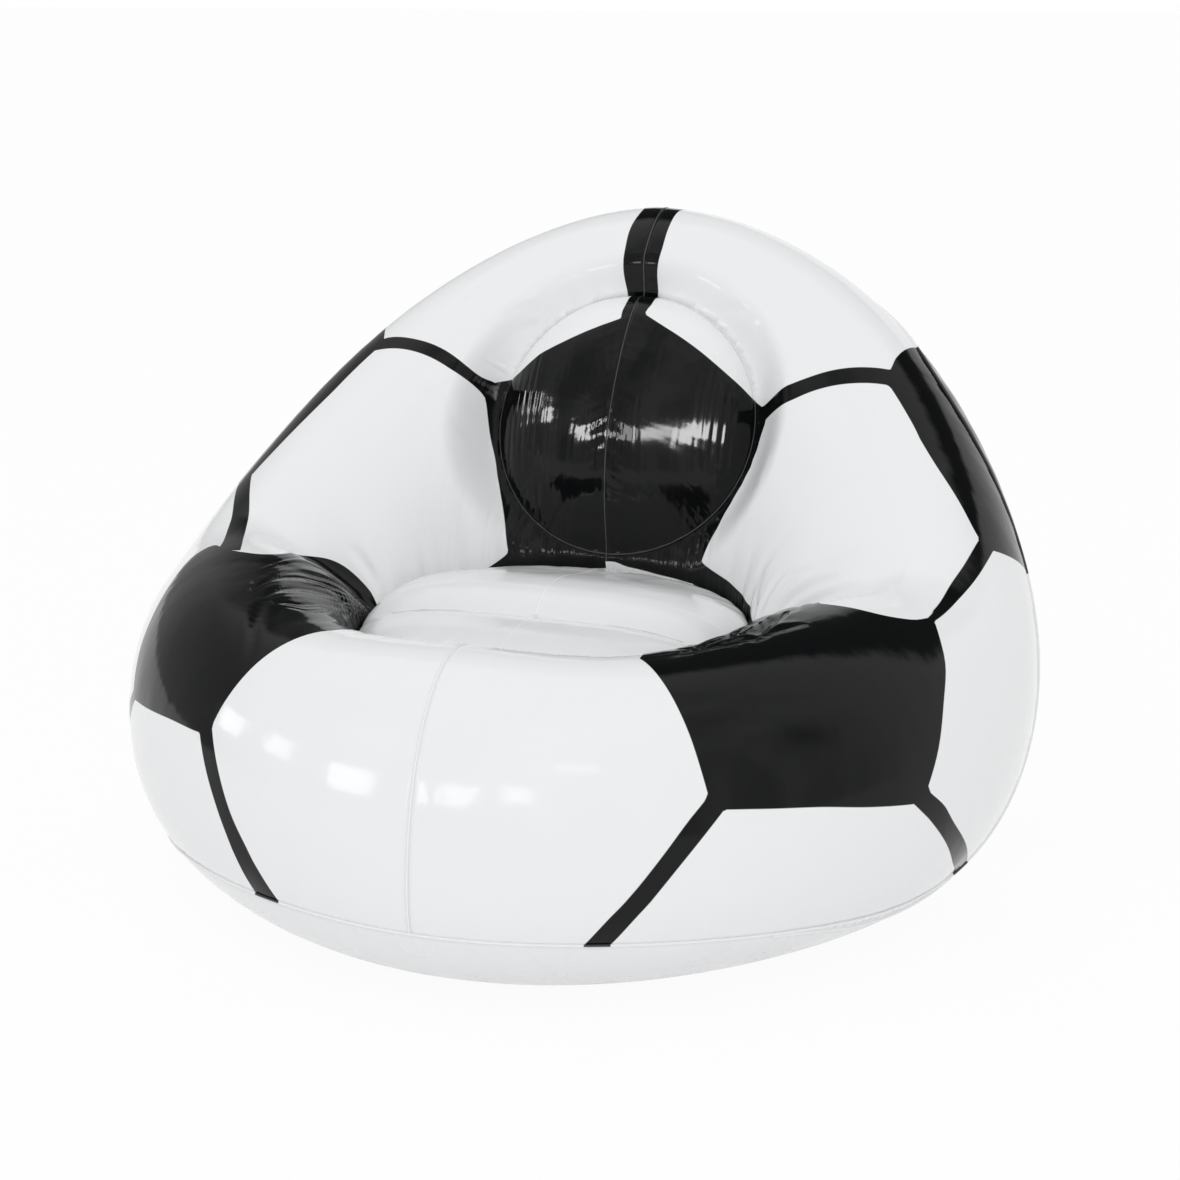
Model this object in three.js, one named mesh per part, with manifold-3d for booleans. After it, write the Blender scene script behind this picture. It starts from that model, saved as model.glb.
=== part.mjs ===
// Inflatable tub armchair: a ball-shaped body welded from film panels, with a bucket seat,
// a two-lobed seat cushion, a round headrest bulge and an inflation valve low on the back.
// Millimetres, +Z up. The chair faces -Y, and the origin is the middle of its footprint.
import * as THREE from "three";
import { mergeVertices } from "three/addons/utils/BufferGeometryUtils.js";
import Module from "manifold-3d";

// Whole chair
const WIDTH = 1100;
const DEPTH = 1080;
const HEIGHT = 760;
const FRONT_HEIGHT = 365;

// Film and welds
const FILM = 1;
const WELD_GAP = 0.3;
const PERIMETER_FLANGE = 4;
const CENTRE_FIN = 2;

// Seat: its outline in plan, the height of the crease round it, and its two lobes
const SEAT_WIDTH = 456;
const SEAT_DEPTH = 410;
const SEAT_SETBACK = -105;
const SEAT_CORNER_POWER = 2.4;
const CREASE_FRONT_HEIGHT = 275;
const CREASE_BACK_HEIGHT = 305;
const FRONT_LOBE_HEIGHT = 336;
const REAR_LOBE_HEIGHT = 356;
const LOBE_CREASE_DEPTH = 16;
const LOBE_CREASE_SPREAD = 22;
const LOBE_CREASE_POWER = 1.3;
const LOBE_STEP_SPREAD = 50;
const LOBE_CREASE_ANGLE = 75;
const SEAT_CROWN_POWER = 3.2;

// Headrest: the round weld in the backrest and the dome inside it
const HEADREST_RADIUS = 168;
const HEADREST_TILT = 26;
const HEADREST_BACK = 166;
const HEADREST_HEIGHT = 492;
const HEADREST_DOME = 66;
const HEADREST_HOLLOW = 55;
const HEADREST_SKIRT = 20;
const HEADREST_GROOVE = 2;
const HEADREST_DEEP = 60;
const DOME_POWER = 0.85;
const DOME_LEAN = 0.35;

// Pinch between each arm and the backrest
const PINCH_ANGLE = 93;
const PINCH_SPREAD = 9;
const PINCH_DROP = 12;
const PINCH_SETBACK_SHARE = 0.015;
const PINCH_FLATTENING = 0.75;

// Rear panels: where they start beside the seat, and how low they reach
const REAR_TIP_ANGLE = 50;
const REAR_TIP_WIDTH = 3;
const REAR_TIP_STEP = 0.1;
const REAR_LOW_HEIGHT = 42;

// Shares at every 20 degrees of plan angle, from the front round to the back.
// Radii are shares of the outline's radius and the widest heights of HEIGHT. The crest rises
// from FRONT_HEIGHT to HEIGHT, and the perimeter seam's height is a share of the crest's.
const contactRadiusShares = [0.66, 0.65, 0.62, 0.6, 0.66, 0.72, 0.76, 0.72, 0.66, 0.62];
const widestHeightShares = [0.17, 0.18, 0.2, 0.22, 0.26, 0.3, 0.33, 0.34, 0.35, 0.36];
const crestRadiusShares = [0.67, 0.69, 0.7, 0.71, 0.7, 0.74, 0.75, 0.73, 0.69, 0.66];
const crestRiseShares = [0, -0.01, -0.02, 0.02, 0.04, 0.09, 0.38, 0.7, 0.9, 1];
const perimeterHeightShares = [0.265, 0.275, 0.27, 0.22, 0.14, 0.22, 0.99, 0.96, 0.93, 0.905];
const innerFullnessPowers = [2, 2, 2, 2.1, 2.2, 1.7, 1.9, 1.8, 1.7, 1.7];

// The profile's stretches: outline up to the widest point, on to the crest, then down to the seat
const WIDEST_SHARE = 0.25;
const CREST_SHARE = 0.55;
const HEADREST_FROM_SHARE = 0.5;
const HEADREST_FOOT_SHARE = 0.03;
const FIN_FADE_SHARE = 0.06;

// Webs inside
const WEB_PORT_RADIUS = 20;
const HEADREST_PORT_RADIUS = 15;
const BAFFLE_WIDTH_SHARE = 0.8;
const webPortAngles = [45, 135, 225, 315];

// Valve: a wide socket welded to the back, a stopper in it, and a small cap in the stopper
const VALVE_ANGLE = 155;
const VALVE_HEIGHT = 262;
const VALVE_FLANGE_RADIUS = 34;
const VALVE_FLANGE = 1.4;
const SOCKET_RADIUS = 15;
const SOCKET_WALL = 2;
const SOCKET_DEPTH = 20;
const SOCKET_LIP = 3;
const VALVE_FIT = 0.3;
const STOPPER_DEPTH = 17;
const STOPPER_RIM_RADIUS = 21;
const STOPPER_RIM = 1.5;
const NOZZLE_RADIUS = 6;
const NOZZLE_WALL = 2.4;
const NOZZLE_LIP = 2.7;
const CAP_STEM = 14;
const CAP_RADIUS = 10;
const CAP_HEAD = 2;
const CAP_TAB_LENGTH = 7;
const CAP_TAB_WIDTH = 6;
const FLAP_RADIUS = 8.5;
const FLAP_THICKNESS = 0.8;
const TETHER_WIDTH = 4;
const TETHER_THICKNESS = 1;
const TETHER_REACH = 7;

// How finely the panels are drawn
const COLUMN_STEP = 9;
const OUTER_ROWS = 5;
const INNER_ROWS = 11;
const REAR_ROWS = 4;
const BASE_ROWS = 2;
const ROUND_STEPS = 32;
const DOME_STEPS = 28;
const TETHER_STEPS = 14;
const BAFFLE_STEPS = 9;
const seatRowShares = [0, 0.25, 0.5, 0.7, 0.85, 0.95, 1];
const floorRowShares = [0, 0.5, 1];
const domeRowShares = [0, 0.4, 0.7, 0.88, 0.97, 1];

const STATION_STEP = 20;
const HALF_TURN = 180;
const FULL_TURN = 2 * HALF_TURN;
const NUDGE = 1e-3;

const wasm = await Module();
wasm.setup();

const rad = THREE.MathUtils.degToRad;
const upright = new THREE.Vector3(0, 0, 1);
const vector = (x, y, z) => new THREE.Vector3(x, y, z);

// A cubic B-spline's weight at a distance in stations
function splineWeight(distance) {
  const t = Math.abs(distance);
  if (t < 1) return (4 - 6 * t ** 2 + 3 * t ** 3) / 6;
  return t < 2 ? (2 - t) ** 3 / 6 : 0;
}

// A smooth value at a plan angle in degrees, alike on both sides of the chair
function around(values, angle) {
  const last = values.length - 1;
  const place = fromFront(angle) / STATION_STEP;
  let sum = 0;
  for (let k = -2; k <= last + 2; k++) {
    const j = Math.abs(k) > last ? 2 * last - Math.abs(k) : Math.abs(k);
    sum += values[j] * splineWeight(place - k);
  }
  return sum;
}

const smooth = (t) => THREE.MathUtils.smoothstep(t, 0, 1);

// The outline in plan is an ellipse about the origin, seen from the middle of the seat
function outlineRadius(angle) {
  const [x, y] = [Math.sin(rad(angle)), -Math.cos(rad(angle))];
  const [a, b] = [WIDTH / 2, DEPTH / 2];
  const square = (x / a) ** 2 + (y / b) ** 2;
  const linear = (2 * SEAT_SETBACK * y) / b ** 2;
  const rest = (SEAT_SETBACK / b) ** 2 - 1;
  return (-linear + Math.sqrt(linear ** 2 - 4 * square * rest)) / (2 * square);
}

function seatRadius(angle) {
  const across = Math.abs(Math.sin(rad(angle)) / (SEAT_WIDTH / 2)) ** SEAT_CORNER_POWER;
  const along = Math.abs(Math.cos(rad(angle)) / (SEAT_DEPTH / 2)) ** SEAT_CORNER_POWER;
  return (across + along) ** (-1 / SEAT_CORNER_POWER);
}

function creaseHeight(angle) {
  const back = (1 - Math.cos(rad(angle))) / 2;
  return THREE.MathUtils.lerp(CREASE_FRONT_HEIGHT, CREASE_BACK_HEIGHT, back);
}

// The plan angle's distance from the front, the same on both sides
const fromFront = (angle) => Math.abs(((angle + FULL_TURN + HALF_TURN) % FULL_TURN) - HALF_TURN);

function pinch(angle) {
  return Math.exp(-(((fromFront(angle) - PINCH_ANGLE) / PINCH_SPREAD) ** 2));
}

const widestHeight = (angle) => HEIGHT * around(widestHeightShares, angle);

function crestHeight(angle) {
  const rise = (HEIGHT - FRONT_HEIGHT) * around(crestRiseShares, angle);
  return FRONT_HEIGHT + rise - PINCH_DROP * pinch(angle);
}

// The body's section at a plan angle: share 0 where it leaves the floor, 1 at the seat's crease
function section(angle, share) {
  const outline = outlineRadius(angle);
  const widest = widestHeight(angle);
  const crest = crestHeight(angle);
  const contact = outline * around(contactRadiusShares, angle);
  const setback = around(crestRadiusShares, angle) + PINCH_SETBACK_SHARE * pinch(angle);
  const crestRadius = outline * setback;
  const crease = creaseHeight(angle);
  const quarter = Math.PI / 2;
  if (share < WIDEST_SHARE) {
    const t = (share / WIDEST_SHARE) * quarter;
    return [contact + (outline - contact) * Math.sin(t), widest * (1 - Math.cos(t))];
  }
  if (share < CREST_SHARE) {
    const t = ((share - WIDEST_SHARE) / (CREST_SHARE - WIDEST_SHARE)) * quarter;
    const radius = crestRadius + (outline - crestRadius) * Math.cos(t);
    return [radius, widest + (crest - widest) * Math.sin(t)];
  }
  const power = 2 / (around(innerFullnessPowers, angle) - PINCH_FLATTENING * pinch(angle));
  const t = ((share - CREST_SHARE) / (1 - CREST_SHARE)) * quarter;
  const inner = seatRadius(angle);
  const radius = inner + (crestRadius - inner) * (1 - Math.sin(t) ** power);
  return [radius, crease + (crest - crease) * Math.max(Math.cos(t), 0) ** power];
}

const headrestCentre = vector(0, HEADREST_BACK, HEADREST_HEIGHT);
const headrestUp = vector(0, Math.sin(rad(HEADREST_TILT)), Math.cos(rad(HEADREST_TILT)));
const headrestAxis = vector(0, -Math.cos(rad(HEADREST_TILT)), Math.sin(rad(HEADREST_TILT)));

// Round the headrest the body is drawn back to the weld's plane, and inside it the dome swells
function drawToHeadrest(point, share) {
  const from = point.clone().sub(headrestCentre);
  const reach = Math.hypot(from.x, from.dot(headrestUp));
  const near = 1 - smooth((reach - HEADREST_RADIUS) / HEADREST_HOLLOW);
  const begun = smooth((share - HEADREST_FROM_SHARE) / (CREST_SHARE - HEADREST_FROM_SHARE));
  const hold = near * begun * smooth((1 - share) / HEADREST_FOOT_SHARE);
  const depth = from.dot(headrestAxis) + HEADREST_GROOVE;
  return point.addScaledVector(headrestAxis, -depth * hold);
}

// The dome's height at a share of its radius and a turn from its top, fuller towards the top
function domeHeight(share, turn) {
  const power = DOME_POWER - DOME_LEAN * share * Math.cos(turn);
  return HEADREST_DOME * Math.max(1 - share ** 2, 0) ** power;
}

function body(angle, share) {
  const [radius, height] = section(angle, share);
  const x = radius * Math.sin(rad(angle));
  return drawToHeadrest(vector(x, SEAT_SETBACK - radius * Math.cos(rad(angle)), height), share);
}

// The share at which the outer wall stands at a height
function shareAt(angle, height) {
  const widest = widestHeight(angle);
  const quarter = Math.PI / 2;
  if (height < widest) return (Math.acos(1 - height / widest) / quarter) * WIDEST_SHARE;
  const t = Math.asin((height - widest) / (crestHeight(angle) - widest)) / quarter;
  return WIDEST_SHARE + (CREST_SHARE - WIDEST_SHARE) * t;
}

const perimeterHeight = (angle) => crestHeight(angle) * around(perimeterHeightShares, angle);
const perimeterShare = (angle) => shareAt(angle, perimeterHeight(angle));

// The base panel meets the front panels as far as the tip, and then runs low under the rear ones
function baseHeight(angle) {
  const turn = fromFront(angle);
  if (turn < REAR_TIP_ANGLE) return perimeterHeight(angle);
  const along = smooth((turn - REAR_TIP_ANGLE) / (HALF_TURN / 2 - REAR_TIP_ANGLE));
  return THREE.MathUtils.lerp(perimeterHeight(angle) - REAR_TIP_WIDTH, REAR_LOW_HEIGHT, along);
}
const baseShare = (angle) => shareAt(angle, baseHeight(angle));

// A surface's point, normal and direction along the section, from a function of angle and share
function frameOn(surface, angle, share) {
  const point = surface(angle, share);
  const low = Math.max(share - NUDGE, 0);
  const high = Math.min(share + NUDGE, 1);
  const along = surface(angle, high).sub(surface(angle, low)).normalize();
  const turn = NUDGE / rad(1);
  const round = surface(angle + turn, share).sub(surface(angle - turn, share)).normalize();
  return { point, along, normal: round.clone().cross(along).normalize() };
}

const bodyFrame = (angle, share) => frameOn(body, angle, share);

const columnCount = Math.round(HALF_TURN / COLUMN_STEP);
const evenAngles = Array.from({ length: columnCount + 1 }, (_, i) => (i / columnCount) * HALF_TURN);
const inOrder = (angles) => [...new Set(angles)].sort((a, b) => a - b);
const columnAngles = inOrder([...evenAngles, REAR_TIP_ANGLE]);

// One side's angles carried on round the other side
const allRound = (half) => [...half, ...half.slice(1, -1).map((a) => FULL_TURN - a).reverse()];

// A closed sheet from two grids of points, joined along their edges
function sheet(outer, inner, wraps = false) {
  const rows = outer.length;
  const columns = outer[0].length;
  const positions = [...outer.flat(), ...inner.flat()].flatMap((p) => p.toArray());
  const at = (layer, i, j) => layer * rows * columns + i * columns + (j % columns);
  const indices = [];
  const quad = (a, b, c, d) => indices.push(a, b, c, a, c, d);
  const steps = wraps ? columns : columns - 1;
  for (let i = 0; i < rows - 1; i++) {
    for (let j = 0; j < steps; j++) {
      quad(at(0, i, j), at(0, i, j + 1), at(0, i + 1, j + 1), at(0, i + 1, j));
      quad(at(1, i, j), at(1, i + 1, j), at(1, i + 1, j + 1), at(1, i, j + 1));
    }
    if (!wraps) {
      quad(at(0, i, 0), at(0, i + 1, 0), at(1, i + 1, 0), at(1, i, 0));
      const j = columns - 1;
      quad(at(0, i + 1, j), at(0, i, j), at(1, i, j), at(1, i + 1, j));
    }
  }
  for (let j = 0; j < steps; j++) {
    quad(at(0, 0, j + 1), at(0, 0, j), at(1, 0, j), at(1, 0, j + 1));
    const i = rows - 1;
    quad(at(0, i, j), at(0, i, j + 1), at(1, i, j + 1), at(1, i, j));
  }
  const geometry = new THREE.BufferGeometry();
  geometry.setAttribute("position", new THREE.Float32BufferAttribute(positions, 3));
  geometry.setIndex(indices);
  return facingOut(withoutSlivers(mergeVertices(geometry, NUDGE)));
}

function withoutSlivers(geometry) {
  const old = geometry.index.array;
  const kept = [];
  for (let i = 0; i < old.length; i += 3) {
    const [a, b, c] = [old[i], old[i + 1], old[i + 2]];
    if (a !== b && b !== c && c !== a) kept.push(a, b, c);
  }
  geometry.setIndex(kept);
  return geometry;
}

function facingOut(geometry) {
  const places = geometry.attributes.position;
  const index = [...geometry.index.array];
  const corner = (i) => new THREE.Vector3().fromBufferAttribute(places, index[i]);
  let volume = 0;
  for (let i = 0; i < index.length; i += 3)
    volume += corner(i).dot(corner(i + 1).cross(corner(i + 2)));
  if (volume < 0)
    for (let i = 0; i < index.length; i += 3)
      [index[i + 1], index[i + 2]] = [index[i + 2], index[i + 1]];
  geometry.setIndex(index);
  return geometry;
}

// The centre fins are trimmed off towards the seat
const finShare = (share) => smooth((1 - share) / FIN_FADE_SHARE);

// A film panel on a surface. Each row and column is plain, or one of a weld flange's two lines:
// its foot on the surface and its tip, which stands out from it.
function panel(frameAt, rows, columns, wraps = false) {
  const outer = [];
  const inner = [];
  for (const row of rows) {
    outer.push([]);
    inner.push([]);
    for (const column of columns) {
      const share = row.share(column.angle);
      const at = frameAt(column.angle, share);
      const tip = Math.max(row.tip ?? 0, (column.tip ?? 0) * finShare(share));
      const shift = (offset) => {
        const moved = at.point.clone().addScaledVector(at.along, (row.into ?? 0) * offset);
        moved.x += (column.into ?? 0) * offset;
        return moved;
      };
      const level = tip > 0 ? tip : -FILM;
      outer.at(-1).push(shift(WELD_GAP / 2 + FILM).addScaledVector(at.normal, tip));
      inner.at(-1).push(shift(WELD_GAP / 2).addScaledVector(at.normal, level));
    }
  }
  return sheet(outer, inner, wraps);
}

// Solids for joining and cutting
function solidOf(geometry) {
  const bare = geometry.clone().deleteAttribute("normal").deleteAttribute("uv");
  const merged = mergeVertices(bare, NUDGE);
  const vertProperties = new Float32Array(merged.attributes.position.array);
  const triVerts = new Uint32Array(merged.index.array);
  return new wasm.Manifold(new wasm.Mesh({ numProp: 3, vertProperties, triVerts }));
}

function geometryOf(solid) {
  const { vertProperties, triVerts, numProp, numVert } = solid.getMesh();
  const places = new Float32Array(numVert * 3);
  for (let i = 0; i < numVert; i++)
    places.set(vertProperties.subarray(i * numProp, i * numProp + 3), i * 3);
  const geometry = new THREE.BufferGeometry();
  geometry.setAttribute("position", new THREE.BufferAttribute(places, 3));
  geometry.setIndex([...triVerts]);
  return geometry;
}

// A round bar along a direction, for cutting ports and the valve's hole
function bar(radius, from, direction, length) {
  const geometry = new THREE.CylinderGeometry(radius, radius, length, ROUND_STEPS);
  geometry.rotateX(Math.PI / 2).translate(0, 0, length / 2);
  const turn = new THREE.Quaternion().setFromUnitVectors(upright, direction);
  geometry.applyQuaternion(turn).translate(from.x, from.y, from.z);
  return solidOf(geometry);
}

const cutAway = (geometry, cutters) =>
  geometryOf(cutters.reduce((solid, cutter) => solid.subtract(cutter), solidOf(geometry)));

// The headrest's surface as rows of rings in the chair's place, inset by an amount, down to a skirt
const domeTurns = Array.from({ length: DOME_STEPS }, (_, i) => (i / DOME_STEPS) * 2 * Math.PI);
function headrestRing(reach, height) {
  return domeTurns.map((turn) =>
    headrestCentre
      .clone()
      .addScaledVector(headrestUp, reach * Math.cos(turn))
      .addScaledVector(headrestAxis, height(turn))
      .setX(reach * Math.sin(turn)),
  );
}
function headrestRows(inset) {
  const radius = HEADREST_RADIUS - inset;
  const rows = domeRowShares.map((share) =>
    headrestRing(radius * share, (turn) => domeHeight(share, turn) - inset),
  );
  return [...rows, headrestRing(radius, () => -HEADREST_SKIRT)];
}
const headrestShell = (out, inset) =>
  solidOf(sheet(headrestRows(-out), headrestRows(inset), true));

// The block that the headrest takes out of the skin, which meets the shell half way into its film
function headrestBlock() {
  const radius = HEADREST_RADIUS - FILM / 2;
  const floor = domeRowShares.map((share) => headrestRing(radius * share, () => -HEADREST_DEEP));
  return solidOf(sheet(headrestRows(FILM / 2), [...floor, floor.at(-1)], true));
}

function addHeadrest(geometry, side) {
  const half = [side, 0, 0];
  const other = [-side, 0, 0];
  const dome = headrestShell(0, FILM).trimByPlane(half, WELD_GAP / 2);
  const fin = headrestShell(CENTRE_FIN, FILM / 2)
    .trimByPlane(half, WELD_GAP / 2)
    .trimByPlane(other, -WELD_GAP / 2 - FILM);
  return geometryOf(solidOf(geometry).subtract(headrestBlock()).add(dome).add(fin));
}

// The two lines of a flange along a row, for a panel that lies on the side that into points to
const flangeRows = (share, into) => [
  { share, into, tip: PERIMETER_FLANGE },
  { share, into },
];

// Columns of one half, from one centre seam to the other or from a given angle
function halfColumns(side, first = 0) {
  const fin = (angle) => [
    { angle, into: side, tip: CENTRE_FIN },
    { angle, into: side },
  ];
  const middle = columnAngles
    .filter((a) => a > first && a < HALF_TURN)
    .map((a) => ({ angle: side * a }));
  const start = first > 0 ? [{ angle: side * first }] : fin(0);
  return [...start, ...middle, ...fin(side * HALF_TURN).reverse()];
}

const between = (low, high, steps) =>
  Array.from({ length: steps - 1 }, (_, i) => ({
    share: (angle) => THREE.MathUtils.lerp(low(angle), high(angle), (i + 1) / steps),
  }));

const crestShare = () => CREST_SHARE;

function frontSkin(side) {
  const rows = [
    ...flangeRows(perimeterShare, 1),
    ...between(perimeterShare, crestShare, OUTER_ROWS),
    { share: crestShare },
    ...between(crestShare, () => 1, INNER_ROWS),
    { share: () => 1 },
  ];
  const frameAt = (angle, share) => frameOn(clearOfCrease, angle, share);
  return addHeadrest(panel(frameAt, rows, halfColumns(side)), side);
}

// Near the seat the front panels stay outside the crease by one weld gap
function clearOfCrease(angle, share) {
  const point = body(angle, share);
  const clear = smooth((share - CREST_SHARE) / (1 - CREST_SHARE));
  point.x += WELD_GAP * clear * Math.sin(rad(angle));
  point.y -= WELD_GAP * clear * Math.cos(rad(angle));
  return point;
}

function rearSkin(side) {
  const rows = [
    ...flangeRows(perimeterShare, -1),
    ...between(perimeterShare, baseShare, REAR_ROWS),
    ...flangeRows(baseShare, 1).reverse(),
  ];
  return panel(bodyFrame, rows, halfColumns(side, REAR_TIP_ANGLE));
}

// The base panel: shares to 1 spread over the floor, and those beyond it climb the body
function baseFrame(angle, share) {
  if (share > 1) return bodyFrame(angle, share - 1);
  const [radius] = section(angle, 0);
  const x = radius * share * Math.sin(rad(angle));
  const point = vector(x, SEAT_SETBACK - radius * share * Math.cos(rad(angle)), 0);
  return { point, along: vector(0, 0, 0), normal: upright.clone().negate() };
}

function basePanel() {
  const half = inOrder([...columnAngles, REAR_TIP_ANGLE - REAR_TIP_STEP]);
  const top = (angle) => 1 + baseShare(angle);
  const rows = [
    ...floorRowShares.map((share) => ({ share: () => share })),
    ...between(() => 1, top, BASE_ROWS),
    ...flangeRows(top, -1).reverse(),
  ];
  return panel(baseFrame, rows, allRound(half).map((angle) => ({ angle })), true);
}

function creasePoint(angle, inset = 0) {
  const radius = seatRadius(angle) - inset;
  const x = radius * Math.sin(rad(angle));
  return vector(x, SEAT_SETBACK - radius * Math.cos(rad(angle)), creaseHeight(angle));
}

// The crease between the seat's lobes runs straight across from one edge point to the other
const lobeCreaseBack = creasePoint(LOBE_CREASE_ANGLE).y;

function seatPoint(angle, share) {
  const edge = creasePoint(angle, WELD_GAP);
  const x = edge.x * share;
  const y = THREE.MathUtils.lerp(lobeCreaseBack, edge.y, share);
  const step = smooth((y - lobeCreaseBack) / (2 * LOBE_STEP_SPREAD) + 0.5);
  const top = THREE.MathUtils.lerp(FRONT_LOBE_HEIGHT, REAR_LOBE_HEIGHT, step);
  const notch = Math.exp(-(Math.abs((y - lobeCreaseBack) / LOBE_CREASE_SPREAD) ** LOBE_CREASE_POWER));
  const swell = Math.sqrt(Math.max(1 - share ** SEAT_CROWN_POWER, 0));
  return vector(x, y, edge.z + (top - edge.z - LOBE_CREASE_DEPTH * notch) * swell);
}

function seatCover(side) {
  const outer = [];
  const inner = [];
  for (const share of seatRowShares) {
    const row = columnAngles.map((angle) => {
      const at = seatPoint(angle, share);
      const shares = [Math.max(share - NUDGE, 0), Math.min(share + NUDGE, 1)];
      const along = seatPoint(angle, shares[1]).sub(seatPoint(angle, shares[0]));
      const turn = NUDGE / rad(1);
      const round = seatPoint(angle + turn, share).sub(seatPoint(angle - turn, share));
      const normal = share > 0 ? round.cross(along).normalize() : upright.clone();
      if (normal.z < 0) normal.negate();
      if (angle === 0 || angle === HALF_TURN) normal.setX(0).normalize();
      return { at, normal };
    });
    const place = ({ at, normal }, depth) => {
      const p = at.clone().addScaledVector(normal, -depth);
      p.x = side * (Math.max(p.x, 0) + WELD_GAP / 2);
      return p;
    };
    outer.push(row.map((r) => place(r, 0)));
    inner.push(row.map((r) => place(r, FILM)));
  }
  return sheet(outer, inner);
}

// The first distance from a point along a direction to a mesh
function reachTo(meshes, from, direction) {
  const ray = new THREE.Raycaster(from, direction);
  const hits = ray.intersectObjects(meshes, false);
  return hits.length ? hits[0].distance : null;
}

// The web from the seat's crease down to the base, with ports for the air
function seatWellWeb() {
  const line = (inset, height) =>
    allRound(columnAngles).map((angle) => creasePoint(angle, inset).setZ(height(angle)));
  const top = (angle) => creaseHeight(angle) - 2 * WELD_GAP;
  const foot = () => FILM + WELD_GAP;
  const outer = [line(-FILM / 2, foot), line(-FILM / 2, top)];
  const inner = [line(FILM / 2, foot), line(FILM / 2, top)];
  const middle = vector(0, SEAT_SETBACK, CREASE_FRONT_HEIGHT / 2);
  const ports = webPortAngles.map((a) =>
    bar(WEB_PORT_RADIUS, middle, vector(Math.sin(rad(a)), -Math.cos(rad(a)), 0), WIDTH / 2),
  );
  return cutAway(sheet(outer, inner, true), ports);
}

// The upright web that holds the crease between the seat's lobes down to the base
function seatBaffle(covers) {
  const half = creasePoint(LOBE_CREASE_ANGLE).x * BAFFLE_WIDTH_SHARE;
  const foot = FILM + WELD_GAP;
  const shape = new THREE.Shape().moveTo(-half, foot).lineTo(half, foot);
  for (let i = 0; i <= BAFFLE_STEPS; i++) {
    const x = THREE.MathUtils.lerp(half, -half, i / BAFFLE_STEPS);
    const start = vector(x, lobeCreaseBack, foot);
    shape.lineTo(x, foot + reachTo(covers, start, upright) - 2 * WELD_GAP);
  }
  shape.closePath();
  const geometry = new THREE.ExtrudeGeometry(shape, { depth: FILM, bevelEnabled: false });
  return geometry.rotateX(Math.PI / 2).translate(0, lobeCreaseBack + FILM / 2, 0);
}

// The tube that ties the round headrest weld to the back of the chair
function headrestWeb(rear) {
  const backwards = headrestAxis.clone().negate();
  const start = HEADREST_SKIRT + WELD_GAP;
  const placeAt = (radius, step) => {
    const turn = (step / DOME_STEPS) * 2 * Math.PI;
    return headrestCentre
      .clone()
      .addScaledVector(headrestUp, radius * Math.cos(turn))
      .addScaledVector(backwards, start)
      .setX(radius * Math.sin(turn));
  };
  const nearby = [-0.5, -0.25, 0, 0.25, 0.5];
  const walls = [HEADREST_RADIUS, HEADREST_RADIUS - FILM].map((radius) => {
    const front = [];
    const back = [];
    for (let i = 0; i < DOME_STEPS; i++) {
      const reaches = nearby.map((k) => reachTo(rear, placeAt(radius, i + k), backwards));
      front.push(placeAt(radius, i));
      back.push(placeAt(radius, i).addScaledVector(backwards, Math.min(...reaches) - WELD_GAP));
    }
    return [front, back];
  });
  const side = vector(1, 0, 0);
  const middle = headrestCentre.clone().addScaledVector(backwards, HEADREST_RADIUS);
  const port = bar(HEADREST_PORT_RADIUS, middle.addScaledVector(side, -WIDTH / 2), side, WIDTH);
  return cutAway(sheet(...walls, true), [port]);
}

// Valve, drawn with its axis along +Z and the flange's underside at zero
const lathe = (points) => {
  const closed = [...points, points[0]].map(([r, z]) => new THREE.Vector2(r, z));
  const geometry = new THREE.LatheGeometry(closed, ROUND_STEPS).rotateX(Math.PI / 2);
  return facingOut(withoutSlivers(
    mergeVertices(geometry.deleteAttribute("normal").deleteAttribute("uv"), NUDGE),
  ));
};

const stopperSeat = SOCKET_LIP + VALVE_FIT;
const stopperTop = stopperSeat + STOPPER_RIM;
const nozzleTop = stopperTop + NOZZLE_LIP;
const capSeat = nozzleTop + VALVE_FIT;
const stopperFoot = -STOPPER_DEPTH;

const valveBase = () => {
  const outside = SOCKET_RADIUS + SOCKET_WALL;
  return lathe([
    [SOCKET_RADIUS, -SOCKET_DEPTH],
    [outside, -SOCKET_DEPTH],
    [outside, 0],
    [VALVE_FLANGE_RADIUS, 0],
    [VALVE_FLANGE_RADIUS, VALVE_FLANGE / 2],
    [VALVE_FLANGE_RADIUS - VALVE_FLANGE, VALVE_FLANGE],
    [outside + VALVE_FLANGE, VALVE_FLANGE],
    [outside, SOCKET_LIP],
    [SOCKET_RADIUS, SOCKET_LIP],
  ]);
};

const valveStopper = () => {
  const stem = SOCKET_RADIUS - VALVE_FIT;
  const nozzle = NOZZLE_RADIUS + NOZZLE_WALL;
  return lathe([
    [NOZZLE_RADIUS, stopperFoot],
    [stem - STOPPER_RIM, stopperFoot],
    [stem, stopperFoot + STOPPER_RIM],
    [stem, stopperSeat],
    [STOPPER_RIM_RADIUS, stopperSeat],
    [STOPPER_RIM_RADIUS, stopperTop],
    [nozzle, stopperTop],
    [nozzle - NOZZLE_WALL / 4, nozzleTop],
    [NOZZLE_RADIUS, nozzleTop],
  ]);
};

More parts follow.
